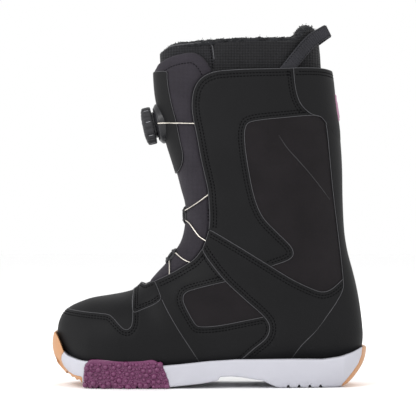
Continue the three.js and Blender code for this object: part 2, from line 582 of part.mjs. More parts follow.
// The lace's route on one side of the foot, from the spool to the throat. The named stretches run in guides.
function laceRoute(side) {
  const inDial = (y, h) => new THREE.Vector3(0, h, 0).applyMatrix4(dialFrame).setY(side * y);
  const low = (points) => points.map((p) => laced.onSide(p, side));
  const turnBack = (upper, lower) => {
    const at = (share) => [upper[0] + (lower[0] - upper[0]) * share, upper[1] + (lower[1] - upper[1]) * share];
    return [[0, 9.5], [0.16, 5.2], [0.5, 3.6], [0.84, 5.2], [1, 9.5]].map(([share, y]) => (
      laced.onFront(at(share), side * y)
    ));
  };
  return {
    spool: [inDial(SPOOL_CORE + 1.2, 4), inDial(SPOOL_CORE + 5, 3.6)],
    dialToQuarter: [overPad.onSide([-41, 250.3], side), overPad.onSide([-31, 249.8], side), ...low([[-20, 249.4]])],
    upper_quarter_guide: low([[-11, 248.6], [-3, 244.5], [3.5, 234], [6, 219], [6.5, 205], [5, 192], [1.5, 184]]),
    toUpperTongue: low([[-6, 177.5], [-18, 169.5]]),
    upper_tongue_guide: turnBack([-22, 167], [-22, 158]),
    toMiddleQuarter: low([[-18, 155], [-8.5, 142.5]]),
    middle_quarter_guide: low([[-1, 137], [2.5, 131], [0.5, 124.5], [-5.5, 119.5], [-11, 117.6], [-16, 117.4]]),
    toLowerTongue: [...low([[-23.5, 120.5]]), laced.onFront([-31, 126], side * 14.5)],
    lower_tongue_guide: turnBack([-32.8, 127.5], [-38.8, 120.5]),
    toLowerQuarter: low([[-37, 113.5]]),
    lower_quarter_guide: low([[-37, 107], [-37.5, 102.5], [-41, 98], [-47, 95]]),
    throat: [...low([[-53, 94.3]]), laced.onFront([-60, 98.5], side * 22)],
  };
}

function makeLaceAndGuides() {
  const [outer, inner] = [laceRoute(-1), laceRoute(1)];
  const middle = laced.onFront([-61, 99], 0);
  const half = (route) => Object.values(route).flat();
  const points = [...half(outer), middle, ...half(inner).reverse()];
  const whole = thinned(new THREE.CatmullRomCurve3(points, false, "centripetal").getPoints(4 * (points.length - 1)));
  const indexOf = (p) => whole.reduce((best, w, i) => (w.distanceTo(p) < whole[best].distanceTo(p) ? i : best), 0);
  const bore = LACE_DIAMETER / 2 + GUIDE_CLEARANCE;
  const room = cord(whole, bore);
  place("lace", cord(whole, LACE_DIAMETER / 2), MATERIALS.steel);
  [["outer", outer], ["inner", inner]].forEach(([name, route]) => {
    for (const key of ["upper_quarter_guide", "middle_quarter_guide", "lower_quarter_guide"]) {
      const ends = [indexOf(route[key][0]), indexOf(route[key][route[key].length - 1])];
      const path = whole.slice(Math.min(...ends), Math.max(...ends) + 1);
      const body = cord(path, bore + GUIDE_WALL);
      place(`${key}_${name}`, body.subtract(room), MATERIALS.dialPlastic);
    }
  });
  const saddle = skinBetween(depthOf(TONGUE_DROP - SEAM_GAP - GUIDE_HEIGHT, TONGUE_DROP - SEAM_GAP - GUIDE_HEIGHT),
    depthOf(TONGUE_DROP - SEAM_GAP, WING_DROP - SEAM_GAP));
  const guides = {
    upper_tongue_guide: [[-45, 174], [-5, 171], [-5, 154], [-45, 155]],
    lower_tongue_guide: [[-43, 144.5], [-13, 118], [-26.5, 102.5], [-56.5, 129]],
  };
  for (const [name, outline] of Object.entries(guides)) {
    const body = saddle.intersect(across(graded(outline), -GUIDE_WIDTH / 2, GUIDE_WIDTH / 2));
    place(name, body.subtract(room), MATERIALS.dialRubber);
  }
  return room;
}
makeDial(makeLaceAndGuides());

// ---------------------------------------------------------------- sole
const SOLE_TOP = [
  [151.5, 37], [147, 37.5], [137, 33], [125, 29], [108, 26.6], [80, 27], [26, 26.7], [0, 25.2], [-28, 22.3],
  [-43, 21], [-48, 25], [-52, 27], [-110, 27], [-114, 25], [-122, 26], [-138, 31.5], [-143, 40], [-145, 50],
  [-146.5, 51],
];
// A row of lugs along the ground, notched between them.
function lugRow(from, to, count) {
  const pitch = (to - from) / count;
  const points = [];
  for (let i = 0; i < count; i++) {
    const x = from + i * pitch;
    points.push([x, 0], [x + 0.7 * pitch, 0]);
    if (i < count - 1) points.push([x + 0.78 * pitch, LUG_HEIGHT], [x + 0.92 * pitch, LUG_HEIGHT]);
  }
  return points;
}
const SOLE_FOOT = [
  [-147.8, 50.5], [-149.5, 44], [-149.9, 38], [-148.6, 32], [-146.7, 25], [-143.3, 19], [-139.5, 15], [-134, 10.5],
  [-131.5, 12], [-129.5, 8.6], [-126.5, 10], [-124.5, 6.6], [-121.5, 8], [-119.6, 5.6],
  [-117, 2.6], ...lugRow(-113, -40, 6), [-32, 1.6], [-8.4, 4], [9.2, 7], [10.8, 10.4], [21, 11], [32, 10], [44, 8],
  [52, 7], [58, 3.5], [64, 1], ...lugRow(67, 118, 5), [127, 3.5], [140, 12], [149.3, 24], [151.5, 34],
];

function makeSole() {
  const outer = lastSolid({
    front: -8,
    back: track([[fanStation(18), -6], [fanStation(36), -30], [FAN_END, -26], [FAN_END + 36, -12]]),
    side: -SOLE_WALL,
  });
  const profile = across([...graded(SOLE_FOOT), ...graded(SOLE_TOP)]);
  const seat = lastSolid({ front: -SEAM_GAP });
  const grooves = joined([-14, 14].map((y) => across(graded([[-160, -1], [160, -1], [160, LUG_HEIGHT],
    [-160, LUG_HEIGHT]]), y - 1.6, y + 1.6)));
  const block = outer.intersect(profile).subtract(seat).subtract(grooves);

  const cutOut = (outline, grow) => across(graded(outline.map(([x, z, dx = 0, dz = 0]) => [x + dx * grow,
    z + dz * grow])));
  // Each corner carries the way it moves when the outline grows.
  const toe = [[-160, 60, -1, 1], [-145, 60, 1, 1], [-144.5, 46.5, 1, 0], [-141.6, 40, 1, 0], [-138.6, 33.5, 1, 1],
    [-140.2, 30.6, 1, 0], [-140.6, 25, 1, 0], [-138.4, 19, 1, 0.5], [-133.7, 14.4, 0.7, 0.7], [-127, 11.5, 0, 1],
    [-119, 10.6, 1, 1], [-118.2, -5, 1, -1], [-160, -5, -1, -1]];
  const heel = [[160, 60, 1, 1], [146.8, 60, -1, 1], [147.6, 38, -1, 0], [145.6, 26.5, -1, 0], [137.5, 15.5, -0.7, 0.7],
    [124, 6, -0.7, 0.7], [121, -5, -1, -1], [160, -5, 1, -1]];
  const forefoot = [[-113, 40, -1, 1], [-113, 25.4, -1, 0], [-115.8, 22.5, -1, 0], [-117.6, 10, -1, 0],
    [-117.6, -5, -1, -1], [-36.5, -5, 1, -1], [-37, 6, 1, 0], [-42.5, 20.4, 1, 0.5], [-46, 40, 1, 1]];
  const coreBehind = (wall) => lastSolid({ front: wall, back: -40, side: wall - SOLE_WALL })
    .intersect(across(graded([[-200, wall + LUG_HEIGHT], [200, wall + LUG_HEIGHT], [200, 100], [-200, 100]])));
  const insert = block.intersect(cutOut(forefoot, 0)).subtract(coreBehind(GRIP_WALL));
  const insertRoom = cutOut(forefoot, SEAM_GAP).subtract(coreBehind(GRIP_WALL + SEAM_GAP));
  place("toe_bumper", biggest(block.intersect(cutOut(toe, 0))), MATERIALS.gum);
  place("heel_bumper", biggest(block.intersect(cutOut(heel, 0))), MATERIALS.gum);
  place("forefoot_grip", biggest(insert), MATERIALS.purple);
  place("midsole", biggest(block.subtract(cutOut(toe, SEAM_GAP)).subtract(cutOut(heel, SEAM_GAP))
    .subtract(insertRoom)), MATERIALS.foam);
}
makeSole();

// ---------------------------------------------------------------- trim
function makeBadge() {
  const skin = skinBetween(depthOf(-SEAM_GAP - BADGE_WALL, -SEAM_GAP - BADGE_WALL), depthOf(-SEAM_GAP, -SEAM_GAP));
  const spot = graded([[100, 252], [150, 252], [150, 279], [100, 279]]);
  place("heel_badge", skin.intersect(across(spot, -BADGE_WIDTH / 2, BADGE_WIDTH / 2)), MATERIALS.badge);
}
makeBadge();

// A strap from the outer side of the collar up and round behind the liner to the inner side, drawn by its two edges.
function makePullLoop() {
  const depth = SHELL_WALL + WEBBING_WALL / 2 + 0.7;
  const anchored = probe(depthOf(depth, depth));
  const reach = WEBBING_WIDTH / 2;
  const legs = [[67, 291], [72, 297], [80, 307], [90, 319.5], [98, 328]];
  const round = [[108.5, 335.5, -22], [113.5, 338.7, -11], [115, 339.2, 0]];
  const edge = (hand) => {
    const onLeg = ([x, z]) => anchored.onSide([x - hand * 0.69 * reach, z + hand * 0.72 * reach], -1);
    const onRound = ([x, z, y]) => (
      new THREE.Vector3(x * gradeX - hand * 0.45 * reach, y * gradeY, z * gradeZ + hand * 0.89 * reach)
    );
    const oneSide = [...legs.map(onLeg), ...round.map(onRound)];
    const otherSide = oneSide.slice(0, -1).reverse().map((p) => new THREE.Vector3(p.x, -p.y, p.z));
    return new THREE.CatmullRomCurve3([...oneSide, ...otherSide], false, "centripetal").getPoints(28);
  };
  const [upper, lower] = [edge(1), edge(-1)];
  const rings = upper.map((p, i) => {
    const along = upper[Math.min(i + 1, 28)].clone().sub(upper[Math.max(i - 1, 0)]);
    const out = along.cross(p.clone().sub(lower[i])).setLength(WEBBING_WALL / 2);
    return [p.clone().add(out), lower[i].clone().add(out), lower[i].clone().sub(out), p.clone().sub(out)];
  });
  place("pull_loop", loft(rings), MATERIALS.webbing);
}
makePullLoop();

// The boot is centred over the origin.
const bounds = new THREE.Box3().setFromObject(boot);
const shift = new THREE.Vector3((bounds.min.x + bounds.max.x) / -2, (bounds.min.y + bounds.max.y) / -2, -bounds.min.z);
for (const mesh of boot.children) mesh.geometry.translate(shift.x, shift.y, shift.z);

export default boot;
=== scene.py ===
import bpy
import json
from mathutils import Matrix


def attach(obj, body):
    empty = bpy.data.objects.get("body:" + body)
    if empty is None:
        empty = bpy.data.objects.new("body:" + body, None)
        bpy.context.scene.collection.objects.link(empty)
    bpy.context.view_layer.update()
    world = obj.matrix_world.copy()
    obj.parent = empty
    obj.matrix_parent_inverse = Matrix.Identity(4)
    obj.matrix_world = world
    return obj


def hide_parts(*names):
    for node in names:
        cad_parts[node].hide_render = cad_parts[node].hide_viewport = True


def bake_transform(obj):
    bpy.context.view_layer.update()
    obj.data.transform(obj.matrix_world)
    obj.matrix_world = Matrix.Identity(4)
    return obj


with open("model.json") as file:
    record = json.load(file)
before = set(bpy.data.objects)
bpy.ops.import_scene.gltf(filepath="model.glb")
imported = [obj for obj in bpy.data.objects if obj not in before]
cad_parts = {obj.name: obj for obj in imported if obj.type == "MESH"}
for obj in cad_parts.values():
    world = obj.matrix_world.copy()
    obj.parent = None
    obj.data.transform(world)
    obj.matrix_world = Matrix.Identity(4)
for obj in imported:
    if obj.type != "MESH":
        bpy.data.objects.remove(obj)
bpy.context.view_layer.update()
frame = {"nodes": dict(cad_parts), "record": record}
import json
import math

import bpy
import numpy as np

# The shapes below are worked out in the drawing's frame, in millimetres; SHIFT takes it to the row frame.
SHIFT = np.array([-0.8, 0.0, 0.0])
SHELL_WALL = 2.6

# ---------------------------------------------------------------- the last's surface
# Cut by level planes down to the ankle, then by a fan of planes about (FAN_X, FAN_Z), then by upright planes
# to the toe. A plane's station q runs on in mm from leg to toe, and s is counted along the plane.
FAN_X, FAN_Z, FAN_R = -104.0, 178.0, 150.0
FAN_END = FAN_R * math.pi / 2
LEG_TOP = -172.0
GRID_STEP, GRID_AROUND = 2.6, 56


def fan(degrees):
    return FAN_R * math.radians(degrees)


def station(x, z):
    """A place in the side view, as its station and how far along that plane it lies."""
    if z >= FAN_Z:
        return FAN_Z - z, x - FAN_X
    if x <= FAN_X:
        return FAN_END + FAN_X - x, FAN_Z - z
    return FAN_R * math.atan2(FAN_Z - z, x - FAN_X), math.hypot(x - FAN_X, FAN_Z - z)


def point_at(q, s):
    """The way back from a station to the side view; s may be an array."""
    if q <= 0:
        return FAN_X + s, FAN_Z - q + 0 * s
    if q >= FAN_END:
        return FAN_X - (q - FAN_END) + 0 * s, FAN_Z - s
    return FAN_X + s * math.cos(q / FAN_R), FAN_Z - s * math.sin(q / FAN_R)


def unit(v):
    return v / np.linalg.norm(v, axis=-1, keepdims=True)


def bell(x, centre, width):
    return np.exp(-((x - centre) / width) ** 2)


def tapered(t, power):
    """Falls from 1 to 0 as t goes from 0 to 1, along a superellipse."""
    return (1 - min(max(0.0, t), 1.0) ** power) ** (1 / 2.2)


def spline(points, steps):
    """A smooth line through points, as three.js draws its SplineCurve."""
    p = np.array(points, float)
    n = len(p)
    out = []
    for k in range(steps * (n - 1) + 1):
        i, w = divmod(k, steps)
        if i == n - 1:
            i, w = n - 2, steps
        t = w / steps
        p0, p1, p2, p3 = p[max(i - 1, 0)], p[i], p[i + 1], p[min(i + 2, n - 1)]
        v0, v1 = (p2 - p0) / 2, (p3 - p1) / 2
        out.append((2 * p1 - 2 * p2 + v0 + v1) * t**3 + (-3 * p1 + 3 * p2 - 2 * v0 - v1) * t**2 + v0 * t + p1)
    return np.array(out)


def track(pairs):
    """A value that eases between (station, value) pairs."""
    at, values = [a for a, _ in pairs], [v for _, v in pairs]

    def read(q):
        if q <= at[0]:
            return values[0]
        for a, b, v, w in zip(at, at[1:], values, values[1:]):
            if q <= b:
                t = (q - a) / (b - a)
                return v + (w - v) * t * t * (3 - 2 * t)
        return values[-1]

    return read


FRONT_LINE = spline([(-58, 352), (-58, 330), (-58, 312), (-57.5, 293), (-56, 276), (-53, 261), (-49, 246),
                     (-45, 230), (-40, 214), (-36, 201), (-32, 188), (-29, 176), (-28, 166), (-28, 156),
                     (-29.5, 147), (-33, 138), (-39, 129), (-46, 120), (-54, 111), (-60, 104), (-65, 97),
                     (-71, 92), (-80, 89), (-94, 86.5), (-110, 84), (-121, 80.5), (-131, 76), (-137, 71.5),
                     (-141, 66), (-144, 58), (-145, 48)], 12)
BACK_LINE = spline([(114, 352), (116, 330), (118, 305), (120, 287), (122, 268), (125, 247), (127, 225),
                    (128, 205), (128.5, 178), (130, 148), (133, 128), (138, 109), (142, 92), (145, 75),
                    (147, 58), (147.5, 45), (145, 34), (136, 27), (115, 24), (80, 23), (40, 21.5), (0, 20),
                    (-40, 18.5), (-80, 18), (-108, 20), (-126, 26), (-137, 33), (-143, 40), (-145, 48)], 12)
HALF_WIDTH = track([(LEG_TOP, 57.5), (-122, 58), (-60, 55.5), (0, 49.5), (fan(16), 46), (fan(32), 43.5),
                    (fan(50), 44), (fan(64), 47.5), (fan(76), 51), (FAN_END, 51.5)])
CENTRE = track([(0, 0), (fan(40), 1), (fan(62), 0), (fan(80), -1), (FAN_END + 6, 1), (FAN_END + 40, 9)])
WIDEST = track([(0, 0.5), (fan(16), 0.5), (fan(30), 0.56), (fan(46), 0.64), (FAN_END, 0.68),
                (FAN_END + 40, 0.6)])
ROUND_ABOVE = track([(0, 2.3), (fan(20), 2.15), (fan(45), 2), (FAN_END, 2.1)])
ROUND_BELOW = track([(0, 2.3), (fan(20), 2.6), (fan(36), 3.6), (fan(52), 5.5), (FAN_END + 20, 5),
                     (FAN_END + 40, 3)])
TOE_START = fan(80)


class Surface:
    """The last's surface moved inwards by front, back and side depths, each a number or a track."""

    def __init__(self, front, back=None, side=None):
        read = lambda v: v if callable(v) else (lambda q: v)
        back = front if back is None else back
        side = front if side is None else side
        self.front = self.moved(FRONT_LINE, read(front), 1)
        self.back = self.moved(BACK_LINE, read(back), -1)
        self.side = read(side)
        self.tip, step = FAN_END, 16.0
        while step > 0.01:
            while self.span(self.tip + step):
                self.tip += step
            step /= 2

    @staticmethod
    def moved(line, depth, hand):
        along = unit(np.gradient(line, axis=0))
        d = np.array([depth(station(*p)[0]) * hand for p in line])[:, None]
        return np.array([station(*p) for p in line + np.c_[-along[:, 1], along[:, 0]] * d])

    @staticmethod
    def crossing(line, q, pick):
        a, b = line[:-1], line[1:]
        hit = ((a[:, 0] - q) * (b[:, 0] - q) <= 0) & (a[:, 0] != b[:, 0])
        if not hit.any():
            return None
        a, b = a[hit], b[hit]
        return pick(a[:, 1] + (b[:, 1] - a[:, 1]) * (q - a[:, 0]) / (b[:, 0] - a[:, 0]))

    def span(self, q):
        a, b = self.crossing(self.front, q, np.max), self.crossing(self.back, q, np.min)
        return None if a is None or b is None or b - a < 0.02 else (a, b)

    def half(self, q):
        """The greatest half width at a station. The plan rounds off towards the toe's tip."""
        return (HALF_WIDTH(q) - self.side(q)) * tapered((q - TOE_START) / (self.tip - TOE_START), 2.3)

    def ring(self, q, around):
        """2 * around points: down the foot's outer side from the front line, then up its inner side."""
        a, b = self.span(q)
        turn = np.linspace(0, math.pi, 240)
        cos, sin = np.cos(turn), np.abs(np.sin(turn))
        power = np.where(cos >= 0, ROUND_ABOVE(q), ROUND_BELOW(q))
        reach = np.abs(cos) ** (2 / power)
        wide = WIDEST(q)
        s = a + (b - a) * np.where(cos >= 0, wide * (1 - reach), wide + (1 - wide) * reach)
        out = self.half(q) * sin ** (2 / power)
        far = np.r_[0, np.cumsum(np.hypot(np.diff(s), np.diff(out)))]
        at = np.linspace(0, far[-1], around + 1)
        s, out = np.interp(at, far, s), np.interp(at, far, out)
        s, out = np.r_[s, s[-2:0:-1]], np.r_[-out, out[-2:0:-1]]
        x, z = point_at(q, s)
        return np.c_[x, CENTRE(q) + out, z]

    def grid(self):
        legs = np.linspace(LEG_TOP, 0, round(-LEG_TOP / GRID_STEP), endpoint=False)
        turns = np.linspace(0, FAN_END, round(FAN_END / (0.7 * GRID_STEP)), endpoint=False)
        toe = FAN_END + (self.tip - 0.03 - FAN_END) * np.sin(np.linspace(0, math.pi / 2, 24))
        return [self.ring(q, GRID_AROUND) for q in [*legs, *turns, *toe]]


# ---------------------------------------------------------------- meshes
def tube_faces(rows, cols, closed=True):
    """Triangles of a grid of rows x cols points, facing out for rings that run as Surface.ring does."""
    i, j = np.meshgrid(np.arange(rows - 1), np.arange(cols if closed else cols - 1), indexing="ij")
    a, b = i * cols + j, i * cols + (j + 1) % cols
    c, d = a + cols, b + cols
    return np.concatenate([np.stack([a, c, d], -1).reshape(-1, 3), np.stack([a, d, b], -1).reshape(-1, 3)])


def grid_mesh(rows, closed=True):
    g = np.array(rows)
    return g.reshape(-1, 3), tube_faces(*g.shape[:2], closed)


def edges_of(f):
    """The three edges of each triangle, in the way that it runs."""
    return np.concatenate([f[:, [0, 1]], f[:, [1, 2]], f[:, [2, 0]]])


def outward(v, f, centre=0.0):
    """The triangles of a closed mesh, turned to face out."""
    p = v - centre
    volume = (p[f[:, 0]] * np.cross(p[f[:, 1]], p[f[:, 2]])).sum()
    return f if volume > 0 else f[:, ::-1]


def vertex_normals(v, f):
    n = np.zeros_like(v)
    face = np.cross(v[f[:, 1]] - v[f[:, 0]], v[f[:, 2]] - v[f[:, 0]])
    for k in range(3):
        np.add.at(n, f[:, k], face)
    return n / np.maximum(np.linalg.norm(n, axis=1, keepdims=True), 1e-9)


class Skin:
    """A triangle mesh with a normal and named fields at each point."""

    def __init__(self, v, f, n=None, fields=None):
        self.v, self.f = v, f
        self.n = vertex_normals(v, f) if n is None else n
        self.fields = fields or {}

    def split(self, name, level):
        """Cuts every triangle along a level of one field."""
        s = self.fields[name] - level
        s[np.abs(s) < 1e-4] = 0
        sign = np.sign(s).astype(int)
        tri = sign[self.f]
        mixed = (tri.max(1) > 0) & (tri.min(1) < 0)
        todo, kept = self.f[mixed], [self.f[~mixed]]
        if not len(todo):
            return self
        tri = sign[todo]
        total = tri.sum(1)
        has_zero = (tri == 0).any(1)
        lone = np.where(has_zero[:, None], tri == 0, tri == -np.sign(total)[:, None])
        first = lone.argmax(1)
        todo = np.take_along_axis(todo, (first[:, None] + np.arange(3)) % 3, 1)
        q, z = todo[~has_zero], todo[has_zero]  # cut across two edges, and from a corner across one
        edges = np.concatenate([q[:, [0, 1]], q[:, [0, 2]], z[:, [1, 2]]])
        keys, where = np.unique(np.sort(edges, 1), axis=0, return_inverse=True)
        where = where.reshape(-1)
        sa, sb = s[keys[:, 0]], s[keys[:, 1]]
        t = (sa / (sa - sb))[:, None]
        mix = lambda arr: arr[keys[:, 0]] * (1 - t) + arr[keys[:, 1]] * t
        base = len(self.v)
        n = mix(self.n)
        self.v = np.r_[self.v, mix(self.v)]
        self.n = np.r_[self.n, n / np.linalg.norm(n, axis=1, keepdims=True)]
        for k, arr in self.fields.items():
            new = mix(arr[:, None])[:, 0]
            self.fields[k] = np.r_[arr, np.full(len(keys), level) if k == name else new]
        count = (~has_zero).sum()
        e01, e02, e12 = where[:count] + base, where[count:2 * count] + base, where[2 * count:] + base
        kept += [np.c_[q[:, 0], e01, e02], np.c_[e01, q[:, 1], q[:, 2]], np.c_[e01, q[:, 2], e02],
                 np.c_[z[:, 0], z[:, 1], e12], np.c_[z[:, 0], e12, z[:, 2]]]
        self.f = np.concatenate(kept)
        return self

    def where(self, keep):
        """Only the triangles whose three points are kept."""
        f = self.f[keep[self.f].all(1)]
        used = np.unique(f)
        back = np.full(len(self.v), -1)
        back[used] = np.arange(len(used))
        return Skin(self.v[used], back[f], self.n[used], {k: a[used] for k, a in self.fields.items()})

    def rim(self):
        """The boundary edges, each running the way its triangle does."""
        e = edges_of(self.f)
        key = np.sort(e, 1) @ np.array([len(self.v), 1])
        _, first, counts = np.unique(key, return_index=True, return_counts=True)
        return e[first[counts == 1]]


def make(name, v, f, material, body="shell", slot=None):
    """A Blender mesh from points in the drawing's frame, riding on a body."""
    mesh = bpy.data.meshes.new(name)
    v = (np.asarray(v, float) + SHIFT) / 1000
    f = np.asarray(f)
    mesh.vertices.add(len(v))
    mesh.vertices.foreach_set("co", v.astype(np.float32).ravel())
    mesh.loops.add(f.size)
    mesh.loops.foreach_set("vertex_index", f.astype(np.int32).ravel())
    mesh.polygons.add(len(f))
    mesh.polygons.foreach_set("loop_start", np.arange(0, f.size, f.shape[1], dtype=np.int32))
    mesh.polygons.foreach_set("loop_total", np.full(len(f), f.shape[1], dtype=np.int32))
    mesh.polygons.foreach_set("use_smooth", np.ones(len(f), bool))
    mesh.update(calc_edges=True)
    mesh.validate()
    obj = bpy.data.objects.new(name, mesh)
    bpy.context.scene.collection.objects.link(obj)
    mesh.materials.append(material)
    if body:
        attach(obj, body)
    return obj


# ---------------------------------------------------------------- regions of the side view
def outline_field(line, v):
    """How far each point lies inside a closed outline of the side view, in mm, and negative outside."""
    p = v[:, [0, 2]]
    a, b = line, np.roll(line, -1, 0)
    best = np.full(len(p), 1e9)
    inside = np.zeros(len(p), bool)
    for (ax, az), (bx, bz) in zip(a, b):
        d = np.array([bx - ax, bz - az])
        length = d @ d
        if length < 1e-9:
            continue
        t = np.clip(((p - (ax, az)) @ d) / length, 0, 1)
        best = np.minimum(best, np.hypot(p[:, 0] - ax - t * d[0], p[:, 1] - az - t * d[1]))
        if az != bz:
            crosses = (az > p[:, 1]) != (bz > p[:, 1])
            inside ^= crosses & (p[:, 0] < (bx - ax) * (p[:, 1] - az) / (bz - az) + ax)
    return np.where(inside, best, -best)


def region(points, far=()):
    """A closed outline: a smooth line through points, then straight on through the far corners."""
    line = spline(points, 4)
    return np.r_[line, np.array(far, float)] if len(far) else line


QUARTER_EDGE = [
    (9, 297.5), (0, 295), (-8, 289.5), (-13, 281), (-15, 270), (-14.5, 257), (-11, 240), (-7, 218), (-3, 200),
    (0, 186), (1, 172), (1.5, 158), (0, 146), (-4, 134), (-12, 122), (-22, 115), (-36, 107), (-50, 100.5),
    (-60, 96)]
COLLAR_LINE = [(150, 296), (122, 299.5), (106, 301.5), (85, 301), (63, 300), (30, 299), (9, 297.5)]
OPENING = np.r_[spline(QUARTER_EDGE, 4), [(-66, 99), (-100, 130), (-150, 200), (-150, 400), (200, 400)],
                spline(COLLAR_LINE, 3)[:-1]]
YOKE = region([(80, 308), (80, 300), (82, 281), (87, 267), (97, 258), (106, 256), (112, 249), (118, 239),
               (128, 233), (142, 230)], [(220, 230), (220, 400), (80, 400)])
UPPER = region([(-8, 153), (3, 148), (30, 132), (56, 116), (79, 102), (98, 93), (108, 90), (117, 93),
                (127.5, 102)], [(220, 102), (220, 420), (-160, 420), (-160, 153)])
REAR = region([(109, 256), (112, 244), (118, 186), (124, 138), (127.5, 104), (127.5, 93), (122, 82),
               (113, 69), (101, 53), (89, 41), (80, 29), (72, 14)], [(72, -40), (220, -40), (220, 256)])
MIDDLE = region([(-12, 142), (-2, 124), (15, 102), (34, 84), (52, 68), (58, 58), (55, 47), (42, 36),
                 (24, 20)], [(24, -40), (-220, -40), (-220, 142)])
FORE = region([(-58, 112), (-50, 98), (-42, 79), (-29, 56), (-12, 30), (-2, 14)], [(-2, -40), (-220, -40),
                                                                                   (-220, 112)])
VAMP = region([(-170, 76.5), (-156, 76), (-136, 73), (-117, 71), (-104, 70), (-93, 68.5), (-86, 62),
               (-80, 56), (-75, 55), (-71.5, 60), (-71, 70), (-72, 82), (-71, 91), (-71, 102)], [(-71, 200),
                                                                                                 (-170, 200)])
SADDLE = region([(-71.3, 70), (-60, 74.5), (-50, 79), (-43.5, 84)], [(-20, 100), (-20, 160), (-71.3, 160)])
MID_WINDOW = region([(53, 66.8), (34, 63), (10, 58.5), (-8, 57.5), (-13, 61), (-22, 77), (-24, 84), (-21, 90),
                     (-5, 95), (18, 100.5)], [(44, 106), (90, 80)])
CUFF_WINDOW = region([(53, 110), (60, 115), (74, 120), (80, 125), (78, 133), (64, 147), (51, 161), (43, 180),
                      (37, 209), (34, 232), (35, 246), (42, 251), (72, 254.5), (100, 257), (110, 253.5)],
                     [(220, 250), (220, 60), (53, 60)])
TONGUE_TOP = region([(-75, 299), (-56, 300), (-51, 303), (-48, 307), (-37, 312.5), (-22, 315.5), (-12, 315),
                     (-3, 308), (4, 296), (9, 285)], [(9, 80), (-150, 80), (-150, 299)])
TONGUE_SIDE = np.r_[spline([(x - 0.5, z + 0.25) for x, z in QUARTER_EDGE], 4),
                    [(-66, 97.5), (-100, 130), (-150, 200), (-150, 400), (9, 400)]]
PAD = region([(-80, 299), (-41, 299), (-39.5, 294), (-38, 282), (-34.5, 265), (-31, 252), (-26.5, 230),
              (-24.5, 221), (-25.5, 211), (-31, 203), (-45, 200), (-80, 199)])
FLAP = region([(-90, 340), (-40, 340), (-8, 338), (2, 330), (4, 322), (6, 307), (7, 296), (3, 282), (-8, 268),
               (-24, 262), (-90, 262)])
LINER_TOP = spline([(-62, 313), (-48, 315.5), (-40, 320), (-32, 322.5), (-8, 324), (30, 326), (68, 327),
                    (84, 328.5), (90, 335), (97, 339.5), (104, 338), (112, 333), (126, 330)], 4)

# ---------------------------------------------------------------- materials
class Nodes:
    """A new material of one Principled shader, with textures that are read at places on the object."""

    def __init__(self, name):
        self.mat = bpy.data.materials.new(name)
        self.mat.use_nodes = True
        self.nodes, self.links = self.mat.node_tree.nodes, self.mat.node_tree.links
        self.nodes.clear()
        out = self.nodes.new("ShaderNodeOutputMaterial")
        self.bsdf = self.nodes.new("ShaderNodeBsdfPrincipled")
        self.links.new(self.bsdf.outputs[0], out.inputs[0])
        self.coords = self.nodes.new("ShaderNodeTexCoord")

    def put(self, **values):
        """Sets the shader's sockets by name, with _ for a space."""
        for socket, value in values.items():
            self.bsdf.inputs[socket.replace("_", " ")].default_value = value

    def texture(self, kind, scale, **inputs):
        t = self.nodes.new("ShaderNodeTex" + kind)
        self.links.new(self.coords.outputs["Object"], t.inputs["Vector"])
        t.inputs["Scale"].default_value = scale
        for k, value in inputs.items():
            if k in t.inputs:
                t.inputs[k].default_value = value
            else:
                setattr(t, k, value)
        return t.outputs[{"Noise": 0, "Voronoi": "Distance", "Wave": "Fac"}[kind]]

    def ramp(self, source, socket, *stops):
        """Feeds a socket of the shader from a source, through a ramp of two (place, colour) stops."""
        r = self.nodes.new("ShaderNodeValToRGB")
        self.links.new(source, r.inputs[0])
        for e, (at, colour) in zip(r.color_ramp.elements, stops):
            e.position, e.color = at, (*colour, 1)
        self.links.new(r.outputs[0], self.bsdf.inputs[socket])

    def bump(self, source, distance, strength):
        b = self.nodes.new("ShaderNodeBump")
        b.inputs["Distance"].default_value = distance
        b.inputs["Strength"].default_value = strength
        self.links.new(source, b.inputs["Height"])
        normal = self.bsdf.inputs["Normal"]
        if normal.links:
            self.links.new(normal.links[0].from_socket, b.inputs["Normal"])
        self.links.new(b.outputs[0], normal)

    def total(self, *parts):
        """The sum of (source, share) parts."""
        last = None
        for source, share in parts:
            m = self.nodes.new("ShaderNodeMath")
            m.operation = "MULTIPLY_ADD"
            self.links.new(source, m.inputs[0])
            m.inputs[1].default_value, m.inputs[2].default_value = share, 0.0
            if last is not None:
                self.links.new(last, m.inputs[2])
            last = m.outputs[0]
        return last


def tint(colour, by):
    return tuple(min(1.0, c * by) for c in colour)


def leather(name, colour, rough=0.58):
    """A fine pebbled grain with faint cloudy wear."""
    k = Nodes(name)
    cloud = k.texture("Noise", 14, Detail=5.0)
    k.ramp(cloud, "Base Color", (0.35, tint(colour, 0.85)), (0.7, tint(colour, 1.2)))
    k.bump(k.texture("Voronoi", 900.0, feature="SMOOTH_F1"), 0.00022, 0.55)
    k.bump(k.texture("Noise", 60, Detail=3.0), 0.0005, 0.25)
    k.ramp(cloud, "Roughness", (0.3, [rough - 0.05] * 3), (0.75, [rough + 0.08] * 3))
    k.put(Specular_IOR_Level=0.13)
    return k.mat


